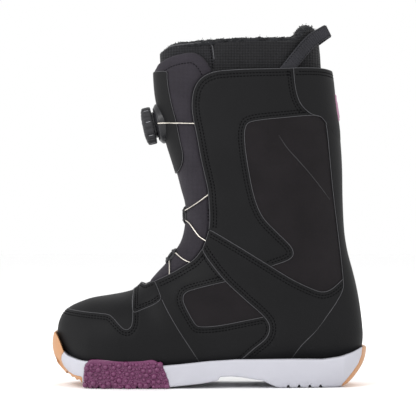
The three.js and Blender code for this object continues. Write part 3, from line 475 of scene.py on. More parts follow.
def cloth(name, colour, threads=1300.0, rough=0.85, sheen=0.25, depth=0.00025, shine=0.15):
    """A woven face: two crossing sets of fine ridges."""
    k = Nodes(name)
    cloud = k.texture("Noise", 30, Detail=4.0)
    fine = k.texture("Noise", threads, Detail=2.0)
    waves = [k.texture("Wave", threads / 4.2, bands_direction=way, Distortion=0.8) for way in ("X", "Z")]
    weave = k.total((waves[0], 0.22), (waves[1], 0.22), (fine, 0.4), (cloud, 0.5))
    k.ramp(weave, "Base Color", (0.38, tint(colour, 0.5)), (1.0, tint(colour, 1.7)))
    for wave in waves:
        k.bump(wave, depth, 0.5)
    k.bump(fine, depth, 0.3)
    k.put(Roughness=rough, Specular_IOR_Level=shine, Sheen_Weight=sheen * 0.25, Sheen_Roughness=0.5)
    return k.mat


def pile(name, colour):
    """Short curly fleece."""
    k = Nodes(name)
    curls, cloud = k.texture("Voronoi", 420, feature="F1"), k.texture("Noise", 160, Detail=6.0)
    k.ramp(cloud, "Base Color", (0.3, tint(colour, 0.6)), (0.7, tint(colour, 1.7)))
    k.bump(curls, 0.0012, 0.8)
    k.bump(cloud, 0.001, 0.6)
    k.put(Roughness=0.95, Specular_IOR_Level=0.1, Sheen_Weight=0.12)
    return k.mat


def moulded(name, colour, rough=0.5, speckle=0.12, grain=700.0, depth=0.00008, coat=0.0, metallic=0.0):
    """Moulded rubber, foam, plastic or metal with slight mottling and a fine surface texture."""
    k = Nodes(name)
    cloud = k.texture("Noise", 25, Detail=5.0)
    k.ramp(cloud, "Base Color", (0.3, tint(colour, 1 - speckle)), (0.7, tint(colour, 1 + speckle)))
    k.bump(k.texture("Noise", grain, Detail=3.0), depth, 0.5)
    k.ramp(cloud, "Roughness", (0.3, [rough - 0.06] * 3), (0.7, [rough + 0.06] * 3))
    k.put(Coat_Weight=coat, Metallic=metallic, Specular_IOR_Level=0.5 if metallic else 0.35)
    return k.mat


M = {name: kind(name, colour, **more) for name, kind, colour, more in [
    ("synthetic_leather", leather, (0.0054, 0.0054, 0.006), {}),
    ("softshell_fabric", cloth, (0.0082, 0.0068, 0.0078), {"sheen": 0.12}),
    ("tongue_fabric", cloth, (0.0205, 0.018, 0.023), {"threads": 1100, "sheen": 0.2}),
    ("dial_plastic", moulded, (0.010, 0.010, 0.012), {"rough": 0.38, "coat": 0.1}),
    ("dial_rubber", moulded, (0.014, 0.014, 0.016), {"rough": 0.6}),
    ("dial_print", moulded, (0.30, 0.30, 0.32), {}),
    ("steel", moulded, (0.55, 0.54, 0.52), {"rough": 0.3, "metallic": 1.0}),
    ("lace_cable", moulded, (0.62, 0.58, 0.52), {"rough": 0.32, "metallic": 0.85}),
    ("sole_foam", moulded, (0.44, 0.44, 0.485), {"rough": 0.6, "speckle": 0.03, "grain": 1500}),
    ("gum_rubber", moulded, (0.46, 0.235, 0.112), {"speckle": 0.06}),
    ("plum_rubber", moulded, (0.125, 0.028, 0.085), {"rough": 0.42, "speckle": 0.15, "coat": 0.12}),
    ("liner_fabric", cloth, (0.0105, 0.0105, 0.0115), {"threads": 500, "depth": 0.0006}),
    ("liner_mesh", cloth, (0.012, 0.012, 0.0135), {"threads": 520, "depth": 0.0007, "sheen": 0.15}),
    ("footbed_fabric", cloth, (0.02, 0.02, 0.022), {}),
    ("fleece", pile, (0.011, 0.0115, 0.013), {}),
    # The fold's colour is lighter than the softshell cloth: a painted highlight on the cuff window's crease.
    ("fold", cloth, (0.03, 0.029, 0.031), {"sheen": 0.3}),
    ("webbing", cloth, (0.024, 0.024, 0.028), {"threads": 1600, "sheen": 0.2}),
    ("stiffener_board", moulded, (0.12, 0.12, 0.12), {"rough": 0.8}),
    ("badge_print", moulded, (0.33, 0.17, 0.25), {"rough": 0.55}),
    ("piping", moulded, (0.062, 0.062, 0.067), {"grain": 2500}),
    ("thread", cloth, (0.003, 0.003, 0.0034), {"threads": 3000, "rough": 0.9, "sheen": 0.0, "shine": 0.05})]}

# ---------------------------------------------------------------- the camera, the floor and the light
LENS, SENSOR = 190.0, 36.0
VIEW_WIDTH, VIEW_MIDDLE = 0.400, (-0.001, 0.1695)  # what the picture shows at the object, in metres
FLOOR_HALF, FLOOR_Z = 6, -0.0004


def placed(name, data):
    obj = bpy.data.objects.new(name, data)
    bpy.context.scene.collection.objects.link(obj)
    return obj


def look():
    cam = bpy.data.cameras.new("camera")
    cam.lens, cam.sensor_width = LENS, SENSOR
    obj = placed("camera", cam)
    obj.location = (VIEW_MIDDLE[0], -VIEW_WIDTH * LENS / SENSOR, VIEW_MIDDLE[1])
    obj.rotation_euler = (math.pi / 2, 0, 0)
    bpy.context.scene.camera = obj

    floor = bpy.data.meshes.new("floor")
    corners = [(-1, -1), (1, -1), (1, 1), (-1, 1)]
    floor.from_pydata([(FLOOR_HALF * x, FLOOR_HALF * y, FLOOR_Z) for x, y in corners], [], [(0, 1, 2, 3)])
    floor.materials.append(moulded("floor_paint", (0.985, 0.985, 0.985), 0.9, speckle=0.002, depth=0.0))
    ground = placed("floor", floor)

    world = bpy.context.scene.world or bpy.data.worlds.new("world")
    bpy.context.scene.world = world
    world.use_nodes = True
    back = world.node_tree.nodes["Background"]
    back.inputs[0].default_value = (1, 1, 1, 1)
    back.inputs[1].default_value = 1.0
    bpy.context.scene.view_settings.view_transform = "Standard"

    for name, place, turn, size, power in [
            ("key", (-0.9, -1.6, 1.5), (52, 0, -28), 1.0, 22),
            ("fill", (1.5, -1.2, 0.9), (68, 0, 52), 1.4, 6),
            ("rim", (0.4, 1.6, 1.4), (-55, 0, -10), 1.2, 10),
            ("low", (-1.7, -0.6, 0.4), (78, 0, -71), 0.7, 7)]:
        lamp = bpy.data.lights.new(name, "AREA")
        lamp.size, lamp.energy = size, power
        light = placed(name, lamp)
        light.location = place
        light.rotation_euler = [math.radians(a) for a in turn]


look()


# ---------------------------------------------------------------- panels
def ripple(v, length, seed):
    """Smooth waves of about that length, from about -1 to 1."""
    rng = np.random.default_rng(seed)
    total = np.zeros(len(v))
    for _ in range(8):
        k = rng.normal(size=3)
        k *= 2 * math.pi / length * rng.uniform(0.6, 1.5) / np.linalg.norm(k)
        total += np.sin(v @ k + rng.uniform(0, 2 * math.pi))
    return total / 4


def nearest(skin, names):
    """The least of several fields; a minus turns a field round."""
    return np.minimum.reduce([-skin.fields[n[1:]] if n[0] == "-" else skin.fields[n] for n in names])


def cut(skin, rolled, under=(), side=0, tuck=2.5, levels=(0.12, 0.4, 0.9), rows=()):
    """The part of a skin inside its rolled edges, and inside its tucked ones with some to spare."""
    s = Skin(skin.v, skin.f, skin.n, dict(skin.fields))
    if side:
        s = s.where(s.v[:, 1] * side > 0)
    s.fields["edge"] = nearest(s, rolled)
    s.fields["tuck"] = nearest(s, under) if under else np.full(len(s.v), 99.0)
    s = s.where((s.fields["edge"] > -9) & (s.fields["tuck"] > -tuck - 9))
    for field, level in [("edge", 0.0), ("tuck", -tuck)]:
        s.split(field, level)
        s = s.where(s.fields[field] >= level - 1e-3)
    for level in levels:
        s.split("edge", level)
    for field, offset in rows:
        name = "row " + field
        if name not in s.fields:
            s.fields[name] = nearest(s, [field])
        s.split(name, offset)
    return s


def rolled_edge(d, radius):
    near = np.clip(radius - d, 0, radius)
    return radius - np.sqrt(np.maximum(radius**2 - near**2, 0))


def with_skirt(v, n, f, depth):
    """Turns the edges down into the surface, so that a panel has a visible thickness."""
    rim = Skin(v, f, n).rim()
    ends = np.unique(rim)
    back = np.full(len(v), -1)
    back[ends] = np.arange(len(ends)) + len(v)
    low = v[ends] - n[ends] * depth
    a, b = rim[:, 0], rim[:, 1]
    wall = np.concatenate([np.c_[a, back[a], back[b]], np.c_[a, back[b], b]])
    return np.r_[v, low], np.concatenate([f, wall])


ROWS, LINES = [], []  # the points and normals of the rows of stitches, and of the piped lines, not yet made


def chains(skin, name, level, keep):
    """The level line of a field as lists of point numbers."""
    on = (np.abs(skin.fields[name] - level) < 1e-3) & keep
    e = edges_of(skin.f)
    e = np.unique(np.sort(e[on[e].all(1)], 1), axis=0)
    joined = {}
    for a, b in e.tolist():
        joined.setdefault(a, []).append(b)
        joined.setdefault(b, []).append(a)
    found, used = [], set()
    for start in sorted(joined, key=lambda p: len(joined[p]) != 1):
        if start in used:
            continue
        line, at = [start], start
        used.add(start)
        while True:
            after = [p for p in joined[at] if p not in used]
            if not after:
                break
            at = after[0]
            used.add(at)
            line.append(at)
        if len(line) > 2 and start in joined[line[-1]]:
            line.append(start)
        if len(line) > 4:
            found.append(line)
    return found


def distances(points):
    """How far along a line each of its points lies."""
    return np.r_[0, np.cumsum(np.linalg.norm(np.diff(points, axis=0), axis=1))]


def read_at(at, far, values):
    return np.stack([np.interp(at, far, values[:, k]) for k in range(3)], 1)


def resampled(points, normals, step):
    """The line with even steps, a little smoothed, or nothing if it is too short."""
    far = distances(points)
    if far[-1] < step:
        return None, None
    at = np.linspace(0, far[-1], max(3, round(far[-1] / step) + 1))
    p = read_at(at, far, points)
    for _ in range(2):
        p[1:-1] = (p[:-2] + 2 * p[1:-1] + p[2:]) / 4
    return p, unit(read_at(at, far, normals))


GROOVE_DEPTH, GROOVE_WIDTH = 0.42, 0.8


def panel(name, skin, nodes, material, rolled, under=(), side=0, height=0.0, radius=0.9, wall=SHELL_WALL,
          rows=(), piped=False, relief=None, body="shell", slot=None, tuck=2.5, levels=(0.12, 0.4, 0.9)):
    """A sewn panel: its face with turned edges, and stitched rows at the offsets given for some fields."""
    rows = [(field, offset) for field, offsets in dict(rows).items() for offset in offsets]
    s = cut(skin, rolled, under, side, tuck, levels, rows)
    d = s.fields["edge"]
    lift = height - rolled_edge(d, radius)
    for field, offset in rows:
        lift = lift - GROOVE_DEPTH * bell(s.fields["row " + field], offset, GROOVE_WIDTH)
    lift = lift + (relief(s) if relief else 0.0)
    v = s.v + s.n * lift[:, None]
    n = vertex_normals(v, s.f)
    for field, offset in rows:
        for line in chains(s, "row " + field, offset, (d > 1.2) & (s.fields["tuck"] > 0.4)):
            ROWS.append(resampled(v[line], n[line], 1.0))
    if piped:
        for line in chains(s, "edge", 0.12, s.fields["tuck"] > -0.2):
            LINES.append(resampled(v[line], n[line], 1.6))
    obj = make(name, *with_skirt(v, s.n, s.f, wall), material, body, slot)
    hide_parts(*nodes)
    return obj, s, v, n


def fields_for(skin, outlines):
    for key, line in outlines.items():
        skin.fields[key] = outline_field(line, skin.v)
    return skin


def skin_of(surface):
    return Skin(*grid_mesh(surface.grid()))


SOLE_LINE = [(160, 41), (146, 39.5), (134, 32), (115, 28.6), (80, 27.6), (40, 26.1), (0, 24.6), (-40, 23.1),
             (-80, 22.6), (-108, 24.6), (-126, 30.6), (-138, 39), (-160, 49)]
ABOVE_SOLE = np.r_[np.array(SOLE_LINE, float), [(-200, 49), (-200, 450), (200, 450), (200, 41)]]
OUTLINES = {"O": OPENING, "Y": YOKE, "U": UPPER, "R": REAR, "M": MIDDLE, "F": FORE, "V": VAMP, "S": SADDLE,
            "W": MID_WINDOW, "C": CUFF_WINDOW, "B": ABOVE_SOLE}
SHELL = fields_for(skin_of(Surface(0)), OUTLINES)


def soft(amount, length, seed):
    """Slight unevenness, fading out at the edges."""
    return lambda s: amount * ripple(s.v, length, seed) * np.clip(s.fields["edge"] / 5, 0, 1)


def bulge(s):
    return 0.5 * np.clip(s.fields["edge"] / 7, 0, 1) ** 0.5 + soft(0.18, 40, 3)(s)


def shell_panel(name, node, rolled, under, side, height, relief, rows=(), slot="synthetic_leather", **more):
    """A piece of the shell, with piped edges unless more says otherwise."""
    panel(name, SHELL, [node], M[slot], rolled, under, side, height, relief=relief, rows=rows, slot=slot,
          **{"piped": True, **more})


FLUSH = {"radius": 0.01, "piped": False}  # for a piece whose edges lie under its neighbours
SIDES = [("outer", -1), ("inner", 1)]
for word, side in SIDES:
    shell_panel(f"cuff_{word}_panel", f"cuff_{word}", ["-O", "-C"], ["U", "-Y", "-R"], side, 0.0,
                soft(0.22, 46, 11), {"-O": (3.4, 6.2), "-C": (2.8, 5.4), "-Y": (3.0, 5.4)})
    shell_panel(f"cuff_window_{word}_cloth", f"cuff_window_{word}", ["C"], ["U", "-Y", "-R"], side, -0.7,
                soft(0.3, 34, 5), slot="softshell_fabric", **FLUSH)
    shell_panel(f"rear_quarter_{word}_panel", f"rear_quarter_{word}", ["-U", "-M", "-O"],
                ["-R", "B"], side, 0.5, soft(0.18, 50, 12), {"-U": (3.0, 5.6), "-M": (3.0, 5.6)})
    shell_panel(f"midfoot_quarter_{word}_panel", f"midfoot_quarter_{word}", ["-O", "-W", "-U"],
                ["M", "-F", "B"], side, 0.15, soft(0.15, 40, 13),
                {"-O": (3.4, 6.2), "-W": (2.8, 5.2), "M": (3.0,)})
    shell_panel(f"midfoot_window_{word}_cloth", f"midfoot_window_{word}", ["W"], ["M"], side, -0.6,
                soft(0.2, 24, 14), slot="softshell_fabric", **FLUSH)
shell_panel("backstay_panel", "backstay", ["R"], ["-Y", "B"], 0, 0.75, soft(0.15, 60, 15))
shell_panel("collar_yoke_panel", "collar_yoke", ["Y", "-O"], [], 0, 0.75, bulge, {"-O": (3.4, 6.2)})
shell_panel("forefoot_panel", "toe_cap", ["F", "-V", "-O"], ["-S", "B"], 0, 0.45, soft(0.12, 60, 16),
            {"-V": (2.6, 4.8)})
shell_panel("vamp_panel", "vamp", ["V"], ["-S"], 0, -0.05, soft(0.1, 50, 17), tuck=1.5, **FLUSH)
shell_panel("throat_saddle_panel", "throat_saddle", ["S", "-O", "F"], ["B"], 0, 0.75, soft(0.12, 30, 18),
            {"S": (2.4, 4.4), "-O": (2.6,)})

# The shell's inner face, seen between the collar and the liner.
lining = cut(fields_for(skin_of(Surface(2.4)), {"O": OPENING, "B": ABOVE_SOLE}), ["-O"], ["B"])
lining_top = lining.v + lining.n * -0.4 * (1 - np.exp(-lining.fields["edge"] / 3))[:, None]
make("shell_lining", lining_top, lining.f[:, ::-1], M["liner_fabric"], slot="liner_fabric")


# ---------------------------------------------------------------- threads
STITCH_PITCH, STITCH_LENGTH, STITCH_RADIUS = 3.1, 2.1, 0.42


def tube(points, normals, radius, sides=6):
    """A closed round tube through points, its normals giving the way that its first side faces."""
    p = np.asarray(points)
    along = np.gradient(p, axis=0)
    along /= np.maximum(np.linalg.norm(along, axis=1, keepdims=True), 1e-9)
    n = normals - along * (normals * along).sum(1, keepdims=True)
    n /= np.maximum(np.linalg.norm(n, axis=1, keepdims=True), 1e-9)
    side = np.cross(along, n)
    r = np.broadcast_to(np.asarray(radius, float), (len(p),))[:, None]
    turn = np.arange(sides) * 2 * math.pi / sides
    rings = [p + r * (math.cos(t) * n + math.sin(t) * side) for t in turn]
    v = np.stack(rings, 1).reshape(-1, 3)
    f = tube_faces(len(p), sides)
    ends = [[0, k, k + 1] for k in range(1, sides - 1)]
    last = (len(p) - 1) * sides
    caps = np.array([[a, c, b] for a, b, c in ends] + [[last + a, last + b, last + c] for a, b, c in ends])
    return v, np.concatenate([f[:, ::-1], caps[:, ::-1]])


def merged(parts):
    base, vs, fs = 0, [], []
    for v, f in parts:
        vs.append(v)
        fs.append(f + base)
        base += len(v)
    return np.concatenate(vs), np.concatenate(fs)


def stitches(points, normals, pitch=STITCH_PITCH, length=STITCH_LENGTH, radius=STITCH_RADIUS):
    """A row of raised stitches whose ends go down into the cloth."""
    far = distances(points)
    along = np.array([-0.5, -0.32, 0, 0.32, 0.5]) * length
    lift = np.array([-0.28, 0.1, 0.17, 0.1, -0.28])[:, None]
    thickness = np.array([0.5, 1, 1.05, 1, 0.5]) * radius
    parts = []
    for k in range(int(far[-1] / pitch)):
        at = (k + 0.5) * pitch + along
        p, n = read_at(at, far, points), read_at(at, far, normals)
        parts.append(tube(p + n * lift, n, thickness))
    return parts


def sew(body, name, sides=(-1, 1)):
    """Makes the stitches and piping that wait, on each side of the foot or, for (0,), in one piece."""
    for kind, store, material in [("stitching", ROWS, "thread"), ("piping", LINES, "piping")]:
        for side in sides:
            parts = []
            for p, n in store:
                if p is not None and (side == 0 or (p[:, 1].mean() > 0) == (side > 0)):
                    parts += stitches(p, n) if store is ROWS else [tube(p + n * 0.22, n, 0.3)]
            if parts:
                word = {-1: "_outer", 1: "_inner", 0: ""}[side]
                make(f"{name}_{kind}{word}", *merged(parts), M[material], body)
        store.clear()


sew("shell", "shell")


# ---------------------------------------------------------------- places on a moved surface
def half_at(surface, x, z):
    """The surface's middle and half width at a place in the side view, or None outside it."""
    q, s = station(x, z)
    ends = surface.span(q)
    if ends is None or not ends[0] <= s <= ends[1]:
        return None
    share, wide = (s - ends[0]) / (ends[1] - ends[0]), WIDEST(q)
    if share <= wide:
        power, reach = ROUND_ABOVE(q), 1 - share / wide
    else:
        power, reach = ROUND_BELOW(q), (share - wide) / (1 - wide)
    cos = reach ** (power / 2)
    return CENTRE(q), surface.half(q) * max(0.0, 1 - cos * cos) ** (1 / power)


def on_side(surface, place, side):
    centre, half = half_at(surface, *place)
    return np.array([place[0], centre + side * half, place[1]])


def on_front(surface, place, y):
    """The point of the surface's front at the station of a place in the side view, y from its middle."""
    q = station(*place)[0]
    a, b = surface.span(q)
    power = ROUND_ABOVE(q)
    sin = min(1.0, abs(y) / (HALF_WIDTH(q) - surface.side(q))) ** (power / 2)
    x, z = point_at(q, a + WIDEST(q) * (1 - math.sqrt(1 - sin * sin) ** (2 / power)) * (b - a))
    return np.array([x, CENTRE(q) + y, z])


# ---------------------------------------------------------------- sole
SOLE_TOP = [(151.5, 37), (147, 37.5), (137, 33), (125, 29), (108, 26.6), (80, 27), (26, 26.7), (0, 25.2),
            (-28, 22.3), (-43, 21), (-48, 25), (-52, 27), (-110, 27), (-114, 25), (-122, 26), (-133, 29.2),
            (-137.4, 33), (-140.2, 40), (-143.4, 46.6), (-146.5, 51)]
LUG_HEIGHT = 2.6


def lug_row(start, end, count):
    pitch = (end - start) / count
    points = []
    for i in range(count):
        x = start + i * pitch
        points += [(x, 0), (x + 0.7 * pitch, 0)]
        if i < count - 1:
            points += [(x + 0.78 * pitch, LUG_HEIGHT), (x + 0.92 * pitch, LUG_HEIGHT)]
    return points


HEEL_CURVE = [tuple(p) for p in spline([(120.5, 0), (127.5, 0.9), (134.4, 5.6), (141.4, 13.2),
                                        (147.2, 21.2), (150.4, 28.6), (151.5, 35)], 4)]
SOLE_FOOT = [(-147.8, 50.5), (-149.5, 44), (-149.9, 38), (-148.6, 32), (-146.7, 25), (-143.3, 19),
             (-139.5, 15), (-134, 10.5), (-131.5, 12), (-129.5, 8.6), (-126.5, 10), (-124.5, 6.6),
             (-121.5, 8), (-119.6, 5.6), (-117, 2.6), *lug_row(-113, -40, 6), (-32, 1.6), (-8.4, 4),
             (9.2, 7), (10.8, 10.4), (21, 11), (32, 10), (44, 8), (52, 7), (58, 3.5), (64, 1),
             *lug_row(67, 118, 5), *HEEL_CURVE]
TOE = np.array([(-160, 60), (-140, 60), (-140, 46.5), (-138.4, 40), (-136.6, 33.5), (-139.4, 30.6),
                (-140.6, 25), (-138.4, 19), (-133.7, 14.4), (-127, 11.5), (-119, 10.6), (-118.2, -5),
                (-160, -5)], float)
HEEL = np.array([(160, 60), (146.4, 60), (147, 38), (146, 30), (142.8, 21.8), (136.6, 13.6), (127.4, 3),
                 (124, -5), (160, -5)], float)
GRIP = np.array([(-113, 40), (-113, 25.4), (-115.8, 22.5), (-117.6, 10), (-117.6, -5), (-36.5, -5), (-37, 6),
                 (-42.5, 20.4), (-46, 40)], float)


def softened(points, radius, closed=False):
    """A line whose corners are turned with small curves, or a closed outline."""
    p = np.array(points, float)
    corners = list(zip(np.roll(p, 1, 0), p, np.roll(p, -1, 0)))
    out = []
    for a, b, c in corners if closed else corners[1:-1]:
        u, w = a - b, c - b
        lu, lw = np.linalg.norm(u), np.linalg.norm(w)
        reach = min(radius, lu * 0.45, lw * 0.45)
        start, end = b + u / lu * reach, b + w / lw * reach
        for t in np.arange(4) / 3:
            out.append((1 - t) ** 2 * start + 2 * t * (1 - t) * b + t * t * end)
    return np.array(out if closed else [p[0], *out, p[-1]])


HEEL_END, HEEL_START, HEEL_HALF = 151.5, 92, 50.0
SOLE_CORNER = 1.5
CHANNELS, CHANNEL_HALF = (-14, 14), 1.7  # the two grooves along the lugs
CHANNEL_START, CHANNEL_END = -114, 119


def heel_plan(x, z):
    """The sole's greatest half width towards the heel, which is round in plan and shorter lower down."""
    end = np.interp(z, [p[1] for p in HEEL_CURVE], [p[0] for p in HEEL_CURVE])
    reach = HEEL_END + 0.25 - HEEL_START
    return HEEL_HALF * tapered((x + 0.5 * (HEEL_END - end) - HEEL_START) / reach, 2.6)


def sole_block():
    """The whole sole as one skin, with the ways across it as sections at right angles to its length."""
    outline = softened(SOLE_FOOT + SOLE_TOP, 2.2, closed=True)
    wide = Surface(-8, track([(fan(18), -6), (fan(36), -30), (FAN_END, -26), (FAN_END + 36, -12)]), -3)
    wide.tip = FAN_END + FAN_X + 150.3
    a, b = outline, np.roll(outline, -1, 0)
    low, high = outline[:, 0].min(), outline[:, 0].max()
    ends = 14 * (1 - np.cos(np.linspace(0, math.pi / 2, 18)))
    corners = outline[(outline[:, 0] > low + 0.3) & (outline[:, 0] < high - 0.3), 0]
    xs = np.r_[low + 0.02 + ends, np.linspace(low + 14, high - 14, 190), high - 0.02 - ends, corners]
    sections = []
    grooves = [c + d for c in CHANNELS for d in (-2.2, -1.6, 1.6, 2.2)]
    for x in np.unique(np.round(xs, 2)):
        hit = (a[:, 0] - x) * (b[:, 0] - x) <= 0
        (ax, az), (bx, bz) = a[hit].T, b[hit].T
        z = az + (bz - az) * (x - ax) / np.where(bx == ax, 1, bx - ax)
        z0, z1 = z.min(), z.max()
        corner = min(SOLE_CORNER, (z1 - z0) * 0.48)
        dips = corner * (1 - np.cos(np.linspace(0, math.pi / 2, 4)))
        side = []
        for z in np.r_[z1 - dips, np.linspace(z1 - corner, z0 + corner, 12)[1:-1], (z0 + dips)[::-1]]:
            got = half_at(wide, x, z)
            centre, half = got if got else side[-1][1:] if side else (CENTRE(station(x, z)[0]), 0.5)
            half = min(half, heel_plan(x, z))
            near = min(z1 - z, z - z0, corner)
            inset = corner - math.sqrt(max(corner**2 - (corner - near) ** 2, 0))
            side.append((z, centre, max(half - inset, 0.3)))
        outer = [(c - h, z) for z, c, h in side]
        inner = [(c + h, z) for z, c, h in side][::-1]
        start, end = outer[-1][0], inner[0][0]
        lugs = z0 < LUG_HEIGHT and CHANNEL_START < x < CHANNEL_END
        tread = [(y, LUG_HEIGHT if lugs and any(abs(y - c) < CHANNEL_HALF for c in CHANNELS) else z0)
                 for y in np.sort(np.r_[np.linspace(start, end, 22)[1:-1],
                                        np.clip(grooves, start + 0.2, end - 0.2)])]
        top = [(y, z1) for y in np.linspace(inner[-1][0], outer[0][0], 12)[1:-1]]
        sections.append([(x, y, z) for y, z in outer + tread + inner + top])
    g = np.array(sections)
    count, around = g.shape[:2]
    v = np.concatenate([g.reshape(-1, 3), [g[0].mean(0), g[-1].mean(0)]])
    turn, last, tip = np.arange(around), (count - 1) * around, np.full(around, count * around)
    after = (turn + 1) % around
    caps = np.c_[turn, after, tip], np.c_[last + after, last + turn, tip + 1]
    f = np.concatenate([tube_faces(count, around), *caps])
    return Skin(v, outward(v, f))


def domes(skin, keep, count, seed, sizes=(0.9, 2.1)):
    """Round studs of several sizes on the part of a skin that keep allows, at random but side by side."""
    rng = np.random.default_rng(seed)
    tri = skin.f[keep[skin.f].all(1)]
    a, b, c = (skin.v[tri[:, k]] for k in range(3))
    area = np.linalg.norm(np.cross(b - a, c - a), axis=1)
    parts, centres, radii = [], np.zeros((0, 3)), np.zeros(0)
    for _ in range(count * 12):
        size = sizes[0] + (sizes[1] - sizes[0]) * rng.random() ** (1.8 if len(parts) > count * 0.3 else 0.6)
        k = rng.choice(len(tri), p=area / area.sum())
        u, w = rng.random(2)
        if u + w > 1:
            u, w = 1 - u, 1 - w
        p = a[k] + u * (b[k] - a[k]) + w * (c[k] - a[k])
        if len(radii) and (np.linalg.norm(centres - p, axis=1) < 0.88 * (radii + size)).any():
            continue
        n = unit(np.cross(b[k] - a[k], c[k] - a[k]))
        centres, radii = np.r_[centres, [p]], np.r_[radii, size]
        parts.append(dome(p, n, size))
        if len(parts) >= count:
            break
    return merged(parts)


def dome(p, n, size, sides=9, rise=0.95, sunk=0.15):
    u = unit(np.cross(n, [0.3, 0.2, 1.0]))
    w = np.cross(n, u)
    turn = np.arange(sides) * 2 * math.pi / sides
    circle = np.outer(np.cos(turn), u) + np.outer(np.sin(turn), w)
    rings = [p + circle * size * math.cos(t) + n * (size * rise * math.sin(t) - sunk)
             for t in (0.0, 0.45, 0.85, 1.25)]
    v = np.concatenate([*rings, [p + n * (size * rise - sunk)]])
    top = 3 * sides
    cap = np.array([[top + k, 4 * sides, top + (k + 1) % sides] for k in range(sides)])
    return v, outward(v, np.concatenate([tube_faces(4, sides), cap])[:, ::-1], p)


SOLE = fields_for(sole_block(), {"T": TOE, "H": HEEL, "G": GRIP})


def sole_piece(name, node, slot, rolled, height=0.0, relief=None):
    return panel(name, SOLE, [node], M[slot], rolled, height=height, radius=0.7, wall=2.2, relief=relief,
                 slot=slot)


def make_sole():
    sole_piece("midsole_foam", "midsole", "sole_foam", ["-T", "-H", "-G"],
               relief=lambda s: 0.05 * ripple(s.v, 25, 31))
    sole_piece("toe_bumper_rubber", "toe_bumper", "gum_rubber", ["T"])
    sole_piece("heel_bumper_rubber", "heel_bumper", "gum_rubber", ["H"])
    _, s, v, n = sole_piece("forefoot_grip_rubber", "forefoot_grip", "plum_rubber", ["G"], 0.2)
    walls = (np.abs(s.n[:, 2]) < 0.75) & (v[:, 2] > 1.2) & (v[:, 2] < 25.2) & (s.fields["edge"] > 0.6)
    v, f = domes(Skin(v, s.f, n), walls, 620, 4, (1.1, 3.1))
    v[:, 2] = np.maximum(v[:, 2], 0.05)
    make("forefoot_grip_studs", v, f, M["plum_rubber"], slot="plum_rubber")


make_sole()


# ---------------------------------------------------------------- tongue
def depths(front, side):
    return Surface(front, front, side)


TONGUE_SEAM = 9.5  # how far the seam lies below the tongue's top edge
TONGUE_FACE, PAD_FACE = depths(6, 5.8), depths(4.6, 4.4)
TONGUE = fields_for(skin_of(TONGUE_FACE), {"E": TONGUE_SIDE, "K": TONGUE_TOP})


def make_tongue():
    def quilting(s):
        top = s.fields["K"]
        roll = 0.25 * np.clip(1 - np.abs(top - 4.5) / 4.5, 0, 1)
        return -0.35 * bell(top, TONGUE_SEAM, 0.8) + roll + soft(0.3, 30, 21)(s)

    obj = panel("tongue_padded", TONGUE, ["tongue"], M["tongue_fabric"], ["E", "K"], radius=2.2, wall=4.6,
                rows={"K": (TONGUE_SEAM,)}, relief=quilting, body="tongue", slot="tongue_fabric",
                levels=(0.3, 0.9, 1.6, 2.4, 8.4, 10.6))[0]
    pad = fields_for(skin_of(PAD_FACE), {"P": PAD, "E": TONGUE_SIDE})
    panel("tongue_pad_overlay", pad, ["tongue_pad"], M["synthetic_leather"], ["P", "E"], radius=1.0, wall=1.3,
          relief=soft(0.12, 40, 22), body="tongue", piped=True, slot="synthetic_leather")


make_tongue()
sew("tongue", "tongue", (0,))

# ---------------------------------------------------------------- liner
SOCK = SHELL_WALL + 2.3 + 0.9
FLAP_DEPTH = 11.5
LINER_FACE = (track([(fan(58), FLAP_DEPTH), (fan(68), SOCK)]),
              track([(-130, 10), (-60, 7.5), (fan(20), SOCK), (fan(34), SOCK), (fan(43), 2.9), (FAN_END, 2.9),
                     (FAN_END + 30, SOCK)]),
              track([(fan(10), 7.2), (fan(30), SOCK)]))


def inside(wall, sole):
    front, back, side = LINER_FACE
    layer = track([(fan(31), wall), (fan(40), sole), (FAN_END, sole), (FAN_END + 30, wall)])
    return Surface(lambda q: front(q) + wall, lambda q: back(q) + layer(q), lambda q: side(q) + wall)


def raised(line, rise):
    return np.r_[line + [0, rise], [(200, 330 + rise), (200, -60), (-200, -60), (-200, 313 + rise)]]


